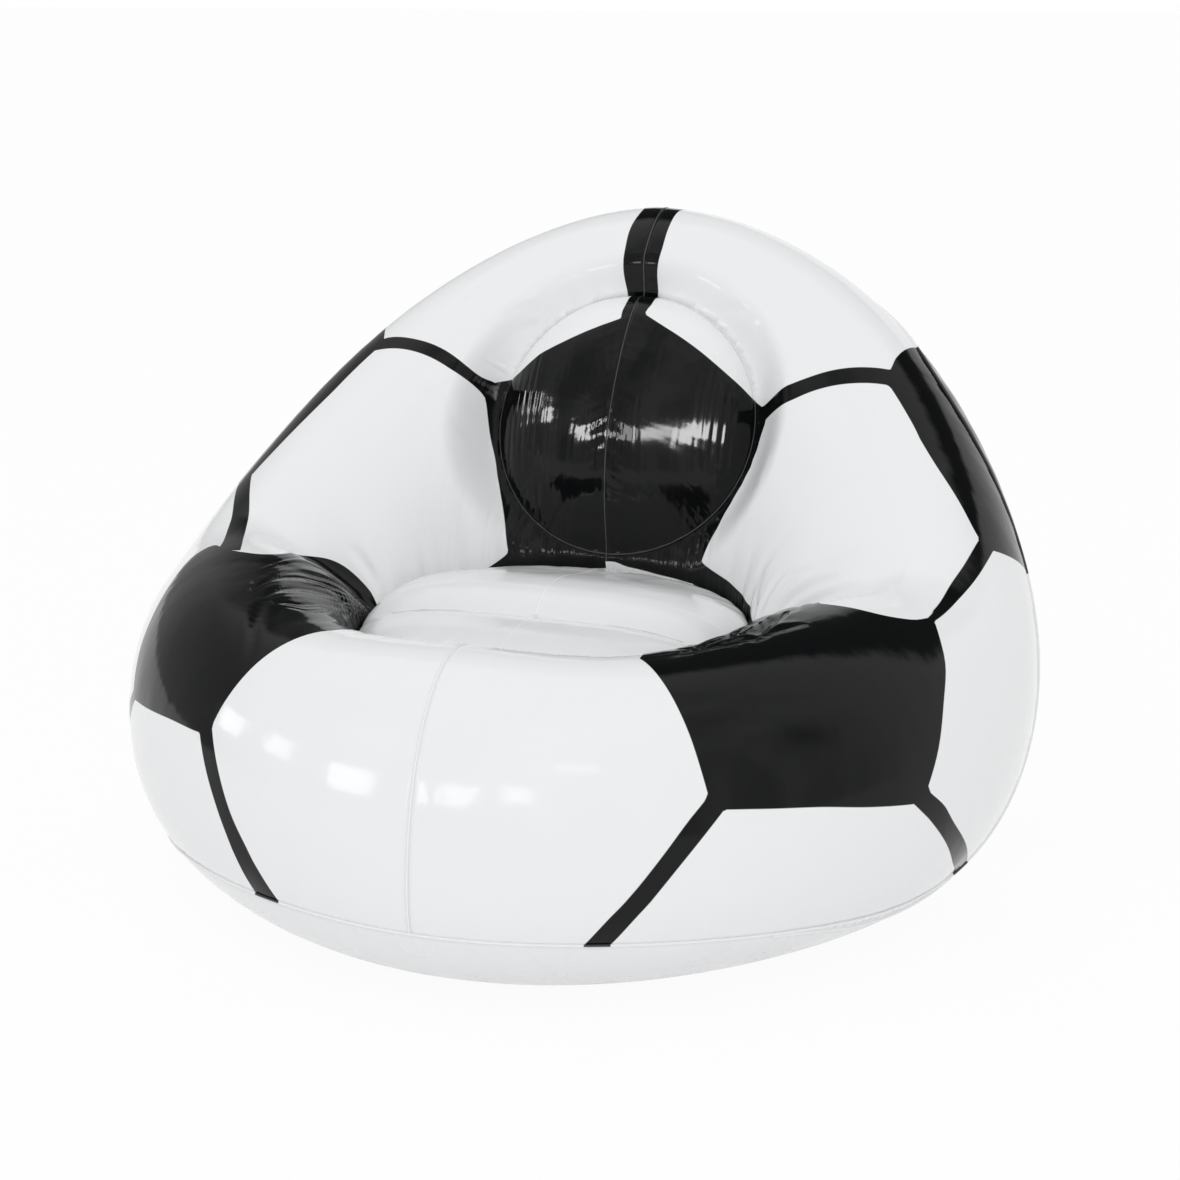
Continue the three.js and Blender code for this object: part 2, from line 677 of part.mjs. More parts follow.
const valveCap = () => {
  const stem = NOZZLE_RADIUS - VALVE_FIT;
  const disc = lathe([
    [0, capSeat - CAP_STEM],
    [stem - CAP_HEAD / 2, capSeat - CAP_STEM],
    [stem, capSeat - CAP_STEM + CAP_HEAD],
    [stem, capSeat],
    [CAP_RADIUS, capSeat],
    [CAP_RADIUS, capSeat + CAP_HEAD / 2],
    [CAP_RADIUS - CAP_HEAD / 2, capSeat + CAP_HEAD],
    [0, capSeat + CAP_HEAD],
  ]);
  const tab = new THREE.BoxGeometry(CAP_TAB_WIDTH, CAP_TAB_LENGTH + CAP_RADIUS, CAP_HEAD / 2);
  tab.translate(0, (CAP_TAB_LENGTH + CAP_RADIUS) / 2, capSeat + CAP_HEAD / 4);
  return geometryOf(solidOf(disc).add(solidOf(tab)));
};

const flapTop = stopperFoot - VALVE_FIT;
const checkFlap = () => {
  const disc = new THREE.CylinderGeometry(FLAP_RADIUS, FLAP_RADIUS, FLAP_THICKNESS, ROUND_STEPS);
  return disc.rotateX(Math.PI / 2).translate(0, 0, flapTop - FLAP_THICKNESS / 2);
};

// A strap bent in one plane from a piece's rim out and round to what it is moulded to
function tether(start, end, bulge) {
  const path = new THREE.CubicBezierCurve3(start, ...bulge, end);
  const [w, t] = [TETHER_WIDTH / 2, TETHER_THICKNESS / 2];
  const band = new THREE.Shape().moveTo(-w, -t).lineTo(w, -t).lineTo(w, t).lineTo(-w, t);
  return new THREE.ExtrudeGeometry(band, { steps: TETHER_STEPS, extrudePath: path });
}

const capTether = () => {
  const start = vector(CAP_RADIUS + VALVE_FIT, 0, capSeat + CAP_HEAD / 2);
  const end = vector(STOPPER_RIM_RADIUS + VALVE_FIT, 0, stopperSeat + STOPPER_RIM / 2);
  const out = STOPPER_RIM_RADIUS + 2 * TETHER_REACH;
  return tether(start, end, [
    vector(out, 0, start.z + TETHER_THICKNESS),
    vector(out, 0, end.z),
  ]);
};

const stopperTether = () => {
  const start = vector(-STOPPER_RIM_RADIUS - VALVE_FIT, 0, stopperSeat + STOPPER_RIM / 2);
  const end = vector(-VALVE_FLANGE_RADIUS - VALVE_FIT, 0, VALVE_FLANGE / 2);
  const out = -VALVE_FLANGE_RADIUS - TETHER_REACH;
  return tether(start, end, [
    vector(out, 0, start.z + TETHER_REACH),
    vector(out - TETHER_REACH, 0, end.z),
  ]);
};

// Materials: glossy printed vinyl outside, clear webs inside, soft moulded valve
const whiteVinyl = new THREE.MeshStandardMaterial({ color: 0xeeeff0, roughness: 0.18 });
const seatVinyl = new THREE.MeshStandardMaterial({ color: 0xe6e7e9, roughness: 0.2 });
const webVinyl = new THREE.MeshStandardMaterial({ color: 0xdfe3e6, roughness: 0.35 });
const valveVinyl = new THREE.MeshStandardMaterial({ color: 0xf2f2f0, roughness: 0.3 });

const chair = new THREE.Group();
function named(name, geometry, material) {
  const mesh = new THREE.Mesh(geometry, material.clone());
  mesh.name = name;
  mesh.updateMatrixWorld();
  return mesh;
}

const sides = [
  ["right", 1],
  ["left", -1],
];
const frontSkins = sides.map(([name, side]) =>
  named(`front_skin_${name}`, frontSkin(side), whiteVinyl),
);
const rearSkins = sides.map(([name, side]) =>
  named(`rear_skin_${name}`, rearSkin(side), whiteVinyl),
);
const seatCovers = sides.map(([name, side]) =>
  named(`seat_cover_${name}`, seatCover(side), seatVinyl),
);

// The valve sits square to the back where a level line from the middle of the chair leaves it
const valveOut = vector(Math.sin(rad(VALVE_ANGLE)), -Math.cos(rad(VALVE_ANGLE)), 0);
const valveInward = valveOut.clone().negate();
const valveTurn = new THREE.Quaternion().setFromRotationMatrix(
  new THREE.Matrix4().makeBasis(vector(-valveOut.y, valveOut.x, 0), upright.clone(), valveOut),
);
function valveSeat() {
  let out = 0;
  for (const radius of [SOCKET_RADIUS + SOCKET_WALL, VALVE_FLANGE_RADIUS]) {
    for (let i = 0; i < ROUND_STEPS; i++) {
      const turn = (i / ROUND_STEPS) * 2 * Math.PI;
      const rim = vector(radius * Math.cos(turn), radius * Math.sin(turn), WIDTH);
      const from = rim.applyQuaternion(valveTurn).setZ(rim.z + VALVE_HEIGHT);
      out = Math.max(out, WIDTH - reachTo(rearSkins, from, valveInward));
    }
  }
  return valveOut.clone().multiplyScalar(out + WELD_GAP).setZ(VALVE_HEIGHT);
}
const valvePlace = valveSeat();
const holeRadius = SOCKET_RADIUS + SOCKET_WALL + WELD_GAP;
const holeStart = valvePlace.clone().addScaledVector(valveInward, SOCKET_DEPTH);
const holed = rearSkins[0];
holed.geometry = cutAway(holed.geometry, [
  bar(holeRadius, holeStart, valveOut, 2 * SOCKET_DEPTH),
]);

const valve = new THREE.Group();
valve.position.copy(valvePlace);
valve.quaternion.copy(valveTurn);
valve.add(
  named("valve_base", valveBase(), valveVinyl),
  named("valve_stopper", valveStopper(), valveVinyl),
  named("valve_cap", valveCap(), valveVinyl),
  named("check_flap", checkFlap(), webVinyl),
  named("cap_tether", capTether(), valveVinyl),
  named("stopper_tether", stopperTether(), valveVinyl),
);

chair.add(
  ...frontSkins,
  ...rearSkins,
  ...seatCovers,
  named("base_panel", basePanel(), whiteVinyl),
  named("seat_well_web", seatWellWeb(), webVinyl),
  named("seat_baffle_web", seatBaffle(seatCovers), webVinyl),
  named("headrest_web", headrestWeb(rearSkins), webVinyl),
  valve,
);

export default chair;
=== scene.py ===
"""Inflatable tub armchair: welded film panels with a ball-panel print, wrinkles and a valve.

Metres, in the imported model's frame: +Z up, the chair faces -Y.
"""
import math

import bmesh
import bpy
import numpy as np
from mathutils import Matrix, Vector
from mathutils.kdtree import KDTree


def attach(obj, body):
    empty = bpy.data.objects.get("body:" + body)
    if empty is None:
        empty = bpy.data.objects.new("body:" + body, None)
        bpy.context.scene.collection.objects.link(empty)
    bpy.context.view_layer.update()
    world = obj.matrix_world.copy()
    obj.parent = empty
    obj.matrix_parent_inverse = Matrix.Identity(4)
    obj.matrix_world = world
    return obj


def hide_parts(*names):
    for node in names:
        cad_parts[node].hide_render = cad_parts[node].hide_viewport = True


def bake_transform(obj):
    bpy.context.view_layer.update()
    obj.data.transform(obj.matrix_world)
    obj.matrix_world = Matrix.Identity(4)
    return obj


bl_info = {
    "name": "Inflatable Tub Armchair",
    "version": (1, 0, 0),
    "blender": (4, 5, 0),
    "location": "View3D > Sidebar > Armchair",
    "description": "Builds an inflated armchair of glossy printed film with welds, wrinkles and a valve",
    "category": "Add Mesh",
}

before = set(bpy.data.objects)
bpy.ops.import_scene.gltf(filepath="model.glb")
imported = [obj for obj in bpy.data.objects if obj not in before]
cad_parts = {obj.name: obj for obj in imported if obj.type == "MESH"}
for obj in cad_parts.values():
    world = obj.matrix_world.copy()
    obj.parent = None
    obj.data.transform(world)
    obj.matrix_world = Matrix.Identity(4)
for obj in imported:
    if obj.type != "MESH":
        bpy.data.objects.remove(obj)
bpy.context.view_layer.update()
CHAIR = "chair"

# The body's form, as in the part's source
WIDTH, DEPTH, HEIGHT, FRONT_HEIGHT = 1.1, 1.08, 0.76, 0.365
SEAT_WIDTH, SEAT_DEPTH, SEAT_SETBACK, SEAT_CORNER_POWER = 0.456, 0.41, -0.105, 2.4
CREASE_FRONT_HEIGHT, CREASE_BACK_HEIGHT = 0.275, 0.305
FRONT_LOBE_HEIGHT, REAR_LOBE_HEIGHT = 0.336, 0.356
LOBE_CREASE_DEPTH, LOBE_CREASE_SPREAD, LOBE_CREASE_POWER = 0.016, 0.022, 1.3
LOBE_STEP_SPREAD, LOBE_CREASE_ANGLE, SEAT_CROWN_POWER = 0.05, 75, 3.2
HEADREST_RADIUS, HEADREST_TILT, HEADREST_BACK, HEADREST_HEIGHT = 0.168, 26, 0.166, 0.492
HEADREST_DOME, HEADREST_HOLLOW, HEADREST_GROOVE = 0.066, 0.055, 0.002
DOME_POWER, DOME_LEAN = 0.85, 0.35
PINCH_ANGLE, PINCH_SPREAD, PINCH_DROP = 93, 9, 0.012
PINCH_SETBACK_SHARE, PINCH_FLATTENING = 0.015, 0.75
REAR_TIP_ANGLE, REAR_TIP_WIDTH, REAR_LOW_HEIGHT = 50, 0.003, 0.042
STATION_STEP, HALF_TURN, FULL_TURN = 20, 180, 360
WIDEST_SHARE, CREST_SHARE = 0.25, 0.55
HEADREST_FROM_SHARE, HEADREST_FOOT_SHARE = 0.5, 0.03

# Shares at every 20 degrees of plan angle, from the front round to the back
contact_radius_shares = [0.66, 0.65, 0.62, 0.6, 0.66, 0.72, 0.76, 0.72, 0.66, 0.62]
widest_height_shares = [0.17, 0.18, 0.2, 0.22, 0.26, 0.3, 0.33, 0.34, 0.35, 0.36]
crest_radius_shares = [0.67, 0.69, 0.7, 0.71, 0.7, 0.74, 0.75, 0.73, 0.69, 0.66]
crest_rise_shares = [0, -0.01, -0.02, 0.02, 0.04, 0.09, 0.38, 0.7, 0.9, 1]
perimeter_height_shares = [0.265, 0.275, 0.27, 0.22, 0.14, 0.22, 0.99, 0.96, 0.93, 0.905]
inner_fullness_powers = [2, 2, 2, 2.1, 2.2, 1.7, 1.9, 1.8, 1.7, 1.7]

# Valve, as in the part's source: along its own axis, from the flange's underside
VALVE_ANGLE, VALVE_HEIGHT = 155, 0.262
VALVE_FLANGE_RADIUS, VALVE_FLANGE = 0.034, 0.0014
SOCKET_RADIUS, SOCKET_WALL, SOCKET_DEPTH, SOCKET_LIP = 0.015, 0.002, 0.02, 0.003
VALVE_FIT, STOPPER_DEPTH, STOPPER_RIM_RADIUS, STOPPER_RIM = 0.0003, 0.017, 0.021, 0.0015
NOZZLE_RADIUS, NOZZLE_WALL, NOZZLE_LIP = 0.006, 0.0024, 0.0027
CAP_STEM, CAP_RADIUS, CAP_HEAD, CAP_TAB_LENGTH, CAP_TAB_WIDTH = 0.014, 0.01, 0.002, 0.007, 0.006
FLAP_RADIUS, FLAP_THICKNESS = 0.0085, 0.0008
TETHER_WIDTH, TETHER_THICKNESS, TETHER_REACH = 0.004, 0.001, 0.007

# How finely the films are drawn: the angle where each stretch ends, and its step in degrees
column_steps = [(38, 0.9), (110, 0.42), (180, 0.7)]
OUTER_ROWS, INNER_ROWS = 46, 96
REAR_ROWS, BASE_ROWS, FLOOR_ROWS = 46, 16, 22
SEAT_ROWS, DOME_ROWS, DOME_COLUMNS = 64, 46, 84
ROUND_STEPS = 48

# Rows of puckers along the seams: depth, spacing and reach in metres, and the seed of their unevenness.
# At the seat's crease and round the cushion the reach is a share of one that varies.
crease_puckers = [(0.003, 0.038, 1.9, 41)]
perimeter_puckers = [(0.001, 0.05, 0.035, 61)]
ring_puckers = [(0.0016, 0.03, 0.03, 81)]
dome_puckers = [(0.0014, 0.03, 0.04, 131)]
rear_low_puckers = [(0.0011, 0.015, 0.016, 151), (0.0012, 0.05, 0.04, 161)]
rear_high_puckers = [(0.0013, 0.015, 0.018, 171), (0.0016, 0.05, 0.045, 181)]
base_puckers = [(0.0004, 0.015, 0.012, 221), (0.0008, 0.06, 0.03, 231)]
cushion_puckers = [(0.0009, 0.014, 1, 251), (0.0016, 0.04, 1.8, 261)]
lobe_puckers = [(0.0007, 0.03, 0.018, 271)]
# Long shallow dents: their length in degrees, lean and seed
front_dents = [(17, 3, 101), (29, -5, 111)]
rear_dents = [(19, 4, 191), (31, -6, 201)]
FRONT_DENT_DEPTH, REAR_DENT_DEPTH, REAR_DENT_MARGIN = 0.0014, 0.002, 0.05
# Wrinkles end this far from a weld, and from the middle weld
WELD_EDGE, PUCKER_EDGE, MIDDLE_EDGE = 0.003, 0.004, 0.012
# Points closer than this are one
MERGE = 1e-6

# Print: a shape is a closed outline of edges, and an edge a run of (plan angle, share of the section)
# points that a smooth curve joins, so that a corner lies only where two edges meet
printed_right = {
    "centre_pentagon": [
        [
            (184, 0.749), (177.5, 0.75), (167.5, 0.762), (160.5, 0.767), (153.5, 0.772), (147, 0.773),
            (144.3, 0.772),
        ],
        [
            (141.5, 0.78), (140.5, 0.825), (141, 0.855), (142.5, 0.888), (144, 0.922), (145.5, 0.95),
            (146, 0.965),
        ],
        [(148.5, 0.9865), (156, 0.9855), (163, 0.984), (171.5, 0.9815), (178.5, 0.978), (184, 0.98)],
    ],
    "seat_strap": [
        [(147, 0.945), (145.5, 0.957), (140, 0.962), (128, 0.965), (114, 0.965), (102, 0.96), (92, 0.95)],
        [(92, 1.01), (139.5, 1.01), (144.5, 0.997), (149, 0.984)],
    ],
    "upper_side_strap": [
        [(146, 0.785), (144, 0.772), (140, 0.743), (137, 0.708), (134.5, 0.665), (132, 0.612), (130, 0.56)],
        [(127.6, 0.57), (128.2, 0.588), (130.7, 0.645), (134, 0.705), (137, 0.747), (141.5, 0.779), (143, 0.8)],
    ],
    "side_pentagon": [
        [(129.5, 0.58), (133, 0.535), (136, 0.49), (141, 0.42), (147, 0.35)],
        [(147, 0.35), (139, 0.27), (132, 0.2)],
        [(132, 0.2), (125, 0.215), (118.5, 0.245)],
        [(118.5, 0.245), (116.5, 0.295), (114.5, 0.337), (111.5, 0.367), (108.5, 0.4), (106.2, 0.43)],
        [(106, 0.455), (108, 0.476), (115, 0.53), (122, 0.562), (128.3, 0.584)],
    ],
    "lower_side_strap": [
        [(108.5, 0.44), (106.5, 0.454), (101, 0.47), (95.5, 0.481), (89.5, 0.475), (86, 0.466)],
        [(86, 0.457), (91.5, 0.461), (95.5, 0.458), (101.5, 0.443), (106.5, 0.429), (108.5, 0.42)],
    ],
    "arm_pentagon": [
        [(36.5, 0.553), (37.5, 0.505), (38.5, 0.457), (39.4, 0.41), (40, 0.372), (40.5, 0.344)],
        [(42.5, 0.328), (47, 0.322), (55, 0.309), (62, 0.292), (69, 0.274)],
        [(71.4, 0.282), (74, 0.313), (77.5, 0.358), (81.3, 0.396), (84, 0.429), (86.6, 0.458)],
        [
            (86.6, 0.466), (83.3, 0.475), (80.2, 0.505), (79.3, 0.553), (80.5, 0.62), (85, 0.67), (91, 0.72),
            (95.5, 0.78), (97.2, 0.86), (95.8, 0.93), (93.5, 1.01),
        ],
        [(88, 1.01), (70, 0.985), (58, 0.93), (48, 0.8), (40, 0.65), (36.5, 0.553)],
    ],
    "front_low_strap": [
        [
            (42, 0.36), (40.5, 0.344), (37.5, 0.322), (34.5, 0.297), (31, 0.268), (27.5, 0.24),
            (24.5, 0.208), (21, 0.165),
        ],
        [(24.5, 0.165), (28, 0.205), (31, 0.238), (35, 0.272), (39, 0.303), (42.5, 0.329), (44, 0.34)],
    ],
    "side_low_strap": [
        [(68, 0.283), (69, 0.274), (72, 0.245), (76, 0.21), (80.5, 0.173), (84, 0.15), (88, 0.123), (94, 0.09)],
        [
            (97, 0.098), (91.5, 0.127), (87.5, 0.15), (82, 0.188), (77, 0.226), (74, 0.257), (71.4, 0.282),
            (70.5, 0.3),
        ],
    ],
    "top_strap": [
        [(184, 0.3), (184, 0.76)],
        [
            (177.3, 0.765), (176.4, 0.735), (176.9, 0.7), (176.6, 0.67), (176.9, 0.63), (176.9, 0.567),
            (175.8, 0.5), (175.7, 0.3),
        ],
    ],
    "back_pentagon": [
        [(184, 0.335), (172, 0.325), (163, 0.31), (159, 0.295)],
        [(159, 0.295), (162, 0.235), (166, 0.175), (170, 0.135)],
        [(170, 0.135), (184, 0.13)],
    ],
    "back_strap": [
        [(163, 0.3), (159, 0.303), (154, 0.313), (150, 0.33), (147.3, 0.348), (145, 0.36)],
        [(143, 0.335), (146, 0.322), (150, 0.307), (155, 0.291), (159.5, 0.282), (164, 0.275)],
    ],
    "back_low_strap": [
        [(171, 0.16), (167.5, 0.145), (163.5, 0.09), (161, 0.05)],
        [(165, 0.05), (168, 0.09), (171, 0.132), (173, 0.15)],
    ],
    "side_pentagon_foot": [
        [(118.6, 0.255), (117.5, 0.21), (116.5, 0.16), (116, 0.1), (116, 0.05)],
        [(119.5, 0.05), (120, 0.1), (120.8, 0.16), (122.3, 0.222), (123, 0.245)],
    ],
}
# The left panels sit a little askew, as the films of the two halves never meet exactly
printed_left = {
    **printed_right,
    "centre_pentagon": [
        [(184, 0.749), (177.5, 0.75), (167.5, 0.766), (157, 0.768), (151.5, 0.773), (143.7, 0.763)],
        [
            (141, 0.772), (139.9, 0.812), (140.3, 0.845), (141, 0.875), (142.5, 0.905), (144, 0.93),
            (145.5, 0.965),
        ],
        [(147, 0.99), (160, 0.992), (172, 0.989), (184, 0.983)],
    ],
    "seat_strap": [
        [(146.5, 0.95), (145.5, 0.966), (142, 0.976), (137, 0.986), (131, 0.996)],
        [(131, 1.01), (140, 1.01), (150, 0.98)],
    ],
    "seat_strap_foot": [
        [(94, 0.94), (100, 0.962), (108, 0.985), (113, 1.01)],
        [(94, 1.01), (92, 0.97)],
    ],
    "upper_side_strap": [
        [(145, 0.775), (143.6, 0.763), (141, 0.747), (137.5, 0.7), (133.5, 0.632), (130.5, 0.56)],
        [(128, 0.56), (128.4, 0.572), (132.5, 0.655), (136.5, 0.72), (140, 0.76), (141, 0.773), (142.5, 0.79)],
    ],
    "side_pentagon": [
        [(129.5, 0.575), (133.5, 0.505), (140, 0.42), (147, 0.35)],
        [(147, 0.35), (139, 0.27), (132, 0.2)],
        [(132, 0.2), (125, 0.215), (118.5, 0.245)],
        [(118.5, 0.245), (114, 0.32), (109, 0.39), (105.2, 0.455)],
        [(105.2, 0.485), (111, 0.513), (119, 0.545), (128.3, 0.568)],
    ],
    "lower_side_strap": [
        [(107, 0.475), (105.2, 0.486), (97.5, 0.53), (92, 0.543), (85, 0.543), (79, 0.54)],
        [(80, 0.5), (86, 0.509), (92.5, 0.507), (97.5, 0.495), (105, 0.453), (107, 0.44)],
    ],
    "arm_pentagon": [
        [(30.5, 0.56), (32, 0.528), (33.6, 0.49), (35, 0.452), (36.3, 0.41), (37.1, 0.382), (37.6, 0.36)],
        [(40, 0.345), (49, 0.335), (59.5, 0.315), (66, 0.3)],
        [(66, 0.3), (68, 0.32), (70.7, 0.347), (73.8, 0.386), (78, 0.42), (83.5, 0.452), (85.5, 0.49)],
        [
            (85.5, 0.492), (83, 0.504), (78.5, 0.535), (77.3, 0.585), (80, 0.64), (87, 0.69), (94, 0.745),
            (97, 0.8), (97, 0.88), (95.5, 0.93), (93.5, 1.01),
        ],
        [(88, 1.01), (70, 0.99), (54, 0.93), (40, 0.8), (31.5, 0.66), (30.5, 0.56)],
    ],
    "front_low_strap": [
        [(39, 0.375), (37.6, 0.358), (33.6, 0.317), (30, 0.283), (26, 0.252), (23, 0.22), (19.5, 0.17)],
        [(23, 0.16), (26.5, 0.2), (29.5, 0.245), (33, 0.28), (36.5, 0.312), (40, 0.345), (41.5, 0.36)],
    ],
    "side_low_strap": [
        [(63.5, 0.312), (64.7, 0.3), (68, 0.262), (73, 0.222), (79, 0.175), (85, 0.138), (92, 0.095)],
        [(95, 0.1), (88, 0.142), (82, 0.185), (76, 0.226), (71, 0.27), (67, 0.302), (66, 0.315)],
    ],
    "top_strap": [
        [(184, 0.3), (184, 0.76)],
        [
            (177.3, 0.75), (176.9, 0.735), (175.5, 0.703), (175.5, 0.672), (175.5, 0.633), (176.5, 0.57),
            (176, 0.5), (175.7, 0.3),
        ],
    ],
}
# The pentagon on the headrest's dome: shares of its radius, outward from the middle weld and up
dome_print_right = [
    [(-0.3, 1.1), (0.12, 1.1)],
    [(0.12, 1.1), (0.125, 0.91), (0.11, 0.85), (0.1, 0.8)],
    [
        (0.1, 0.8), (0.235, 0.725), (0.37, 0.653), (0.478, 0.592), (0.582, 0.528), (0.685, 0.458),
        (0.782, 0.39), (0.878, 0.322), (0.963, 0.252), (1.1, 0.15),
    ],
    [(1.3, 0), (1.3, -1.3), (-0.3, -1.3)],
]
dome_print_left = [
    [(-0.3, 1.1), (0.08, 1.1)],
    [(0.08, 1.1), (0.075, 0.9), (0.08, 0.81), (0.073, 0.748)],
    [
        (0.073, 0.748), (0.223, 0.678), (0.372, 0.607), (0.52, 0.535), (0.678, 0.463), (0.762, 0.405),
        (0.838, 0.345), (0.925, 0.3), (1.1, 0.23),
    ],
    [(1.3, 0), (1.3, -1.3), (-0.3, -1.3)],
]

# Folds: a run of (plan angle, share) points, with its width and depth in millimetres
right_folds = [
    ([(57, 0.535), (62, 0.58), (68, 0.625), (75, 0.655)], 7, 3.6),
    ([(58, 0.525), (61, 0.545), (65, 0.55), (69, 0.547)], 5, 2.4),
    ([(44, 0.56), (50, 0.563), (56, 0.557), (61, 0.547)], 4.5, 2.2),
    ([(46, 0.58), (52, 0.6), (58, 0.63), (64, 0.68)], 6, 2.2),
    ([(99, 0.93), (104, 0.9), (106.5, 0.86), (106.5, 0.82)], 6, 1.6),
    ([(98, 0.92), (101.5, 0.87), (103.5, 0.82), (103.5, 0.77)], 6, 1.8),
    ([(97.5, 0.9), (99.5, 0.84), (100, 0.78), (99, 0.72)], 6, 2),
    ([(97, 0.87), (97, 0.8), (96.5, 0.73), (94.5, 0.66)], 7, 2),
    ([(104, 0.96), (109, 0.94), (113, 0.92), (115, 0.89)], 6, 1.4),
    ([(148, 0.72), (154, 0.7), (160, 0.71), (166, 0.74)], 6, 0.8),
    ([(146, 0.69), (150, 0.66), (155, 0.655), (160, 0.665)], 7, 0.6),
]
left_folds = [
    ([(101, 0.79), (100.5, 0.84), (100, 0.89), (98.5, 0.95)], 6, 2.2),
    ([(105.5, 0.82), (103.5, 0.87), (101.5, 0.92), (98.5, 0.97)], 5, 1.8),
    ([(52, 0.54), (48.5, 0.522), (45.5, 0.505), (41, 0.48), (37.5, 0.455)], 5, 1.8),
    ([(142, 0.72), (148, 0.7), (154, 0.705), (160, 0.73)], 5, 1),
    ([(144, 0.74), (151, 0.725), (157, 0.728), (163, 0.745)], 5, 0.8),
    ([(138, 0.66), (143, 0.63), (149, 0.625), (155, 0.64)], 7, 0.7),
    ([(126, 0.68), (130, 0.72), (134, 0.77), (137, 0.83)], 8, 0.8),
]
# The fan of gathers on each arm runs from the pinch up to the crest, between its first and last lines
fan_first = [(95, 0.965), (99.5, 0.875), (99.5, 0.81), (97, 0.755), (85, 0.665), (77, 0.58)]
fan_middle = [(91, 0.965), (80, 0.865), (72, 0.75), (67, 0.66), (61, 0.575), (55, 0.52)]
fan_last = [(87, 0.98), (64, 0.875), (48, 0.735), (42, 0.64), (44, 0.59), (47, 0.55)]
FAN_SPREAD, FAN_LENGTH, FAN_DEPTH = 0.13, 0.2, 4.0
FAN_LINES, FAN_REACH, FAN_PRESS, FAN_SPACING = 97, 0.006, 0.0016, 0.021
FAN_FADE_FROM, FAN_FADE_OVER, FAN_FOOT_FADE = 0.62, 0.36, 0.05
FAN_FIRST_FADE, FAN_LAST_FADE, FAN_MARGIN, FAN_NEIGHBOURS = 0.07, 0.12, 0.01, 4


def spline_weight(distance):
    """A cubic B-spline's weight at a distance in stations."""
    t = np.abs(distance)
    near = (4 - 6 * t**2 + 3 * t**3) / 6
    return np.where(t < 1, near, np.where(t < 2, np.clip(2 - t, 0, None) ** 3 / 6, 0))


def around(values, angle):
    """A smooth value at a plan angle in degrees, alike on both sides of the chair."""
    last = len(values) - 1
    place = from_front(angle) / STATION_STEP
    total = np.zeros_like(place, dtype=float)
    for k in range(-2, last + 3):
        j = 2 * last - abs(k) if abs(k) > last else abs(k)
        total = total + values[j] * spline_weight(place - k)
    return total


def from_front(angle):
    return np.abs((np.asarray(angle, float) + HALF_TURN) % FULL_TURN - HALF_TURN)


def smooth(t):
    t = np.clip(t, 0, 1)
    return t * t * (3 - 2 * t)


def mix(a, b, t):
    return a + (b - a) * t


def outline_radius(angle):
    x, y = np.sin(np.radians(angle)), -np.cos(np.radians(angle))
    a, b = WIDTH / 2, DEPTH / 2
    square = (x / a) ** 2 + (y / b) ** 2
    linear = 2 * SEAT_SETBACK * y / b**2
    rest = (SEAT_SETBACK / b) ** 2 - 1
    return (-linear + np.sqrt(linear**2 - 4 * square * rest)) / (2 * square)


def seat_radius(angle):
    across = np.abs(np.sin(np.radians(angle)) / (SEAT_WIDTH / 2)) ** SEAT_CORNER_POWER
    along = np.abs(np.cos(np.radians(angle)) / (SEAT_DEPTH / 2)) ** SEAT_CORNER_POWER
    return (across + along) ** (-1 / SEAT_CORNER_POWER)


def crease_height(angle):
    return mix(CREASE_FRONT_HEIGHT, CREASE_BACK_HEIGHT, (1 - np.cos(np.radians(angle))) / 2)


def pinch(angle):
    return np.exp(-(((from_front(angle) - PINCH_ANGLE) / PINCH_SPREAD) ** 2))


def widest_height(angle):
    return HEIGHT * around(widest_height_shares, angle)


def crest_height(angle):
    rise = (HEIGHT - FRONT_HEIGHT) * around(crest_rise_shares, angle)
    return FRONT_HEIGHT + rise - PINCH_DROP * pinch(angle)


def section(angle, share):
    """The body's section at a plan angle: share 0 where it leaves the floor, 1 at the seat's crease."""
    outline, inner = outline_radius(angle), seat_radius(angle)
    widest, crest, crease = widest_height(angle), crest_height(angle), crease_height(angle)
    contact = outline * around(contact_radius_shares, angle)
    crest_radius = outline * (around(crest_radius_shares, angle) + PINCH_SETBACK_SHARE * pinch(angle))
    quarter = math.pi / 2
    low = np.clip(share / WIDEST_SHARE, 0, 1) * quarter
    mid = np.clip((share - WIDEST_SHARE) / (CREST_SHARE - WIDEST_SHARE), 0, 1) * quarter
    top = np.clip((share - CREST_SHARE) / (1 - CREST_SHARE), 0, 1) * quarter
    power = 2 / (around(inner_fullness_powers, angle) - PINCH_FLATTENING * pinch(angle))
    r_low = contact + (outline - contact) * np.sin(low)
    r_mid = crest_radius + (outline - crest_radius) * np.cos(mid)
    r_top = inner + (crest_radius - inner) * (1 - np.sin(top) ** power)
    z_low = widest * (1 - np.cos(low))
    z_mid = widest + (crest - widest) * np.sin(mid)
    z_top = crease + (crest - crease) * np.clip(np.cos(top), 0, None) ** power
    below, under = share < WIDEST_SHARE, share < CREST_SHARE
    return np.where(below, r_low, np.where(under, r_mid, r_top)), np.where(
        below, z_low, np.where(under, z_mid, z_top)
    )


TILT = math.radians(HEADREST_TILT)
RIGHT, UP = np.array([1.0, 0, 0]), np.array([0, 0, 1.0])
HEADREST_CENTRE = np.array([0, HEADREST_BACK, HEADREST_HEIGHT])
HEADREST_UP = np.array([0, math.sin(TILT), math.cos(TILT)])
HEADREST_AXIS = np.array([0, -math.cos(TILT), math.sin(TILT)])
# Only film above this share, and this near the plane of the round weld, is cut out inside it
CUT_FROM_SHARE, CUT_REACH = 0.6, 0.03


def dome_height(share, turn):
    power = DOME_POWER - DOME_LEAN * share * np.cos(turn)
    swell = HEADREST_DOME * np.clip(1 - share**2, 0, 1) ** power
    return swell - HEADREST_GROOVE * share**8


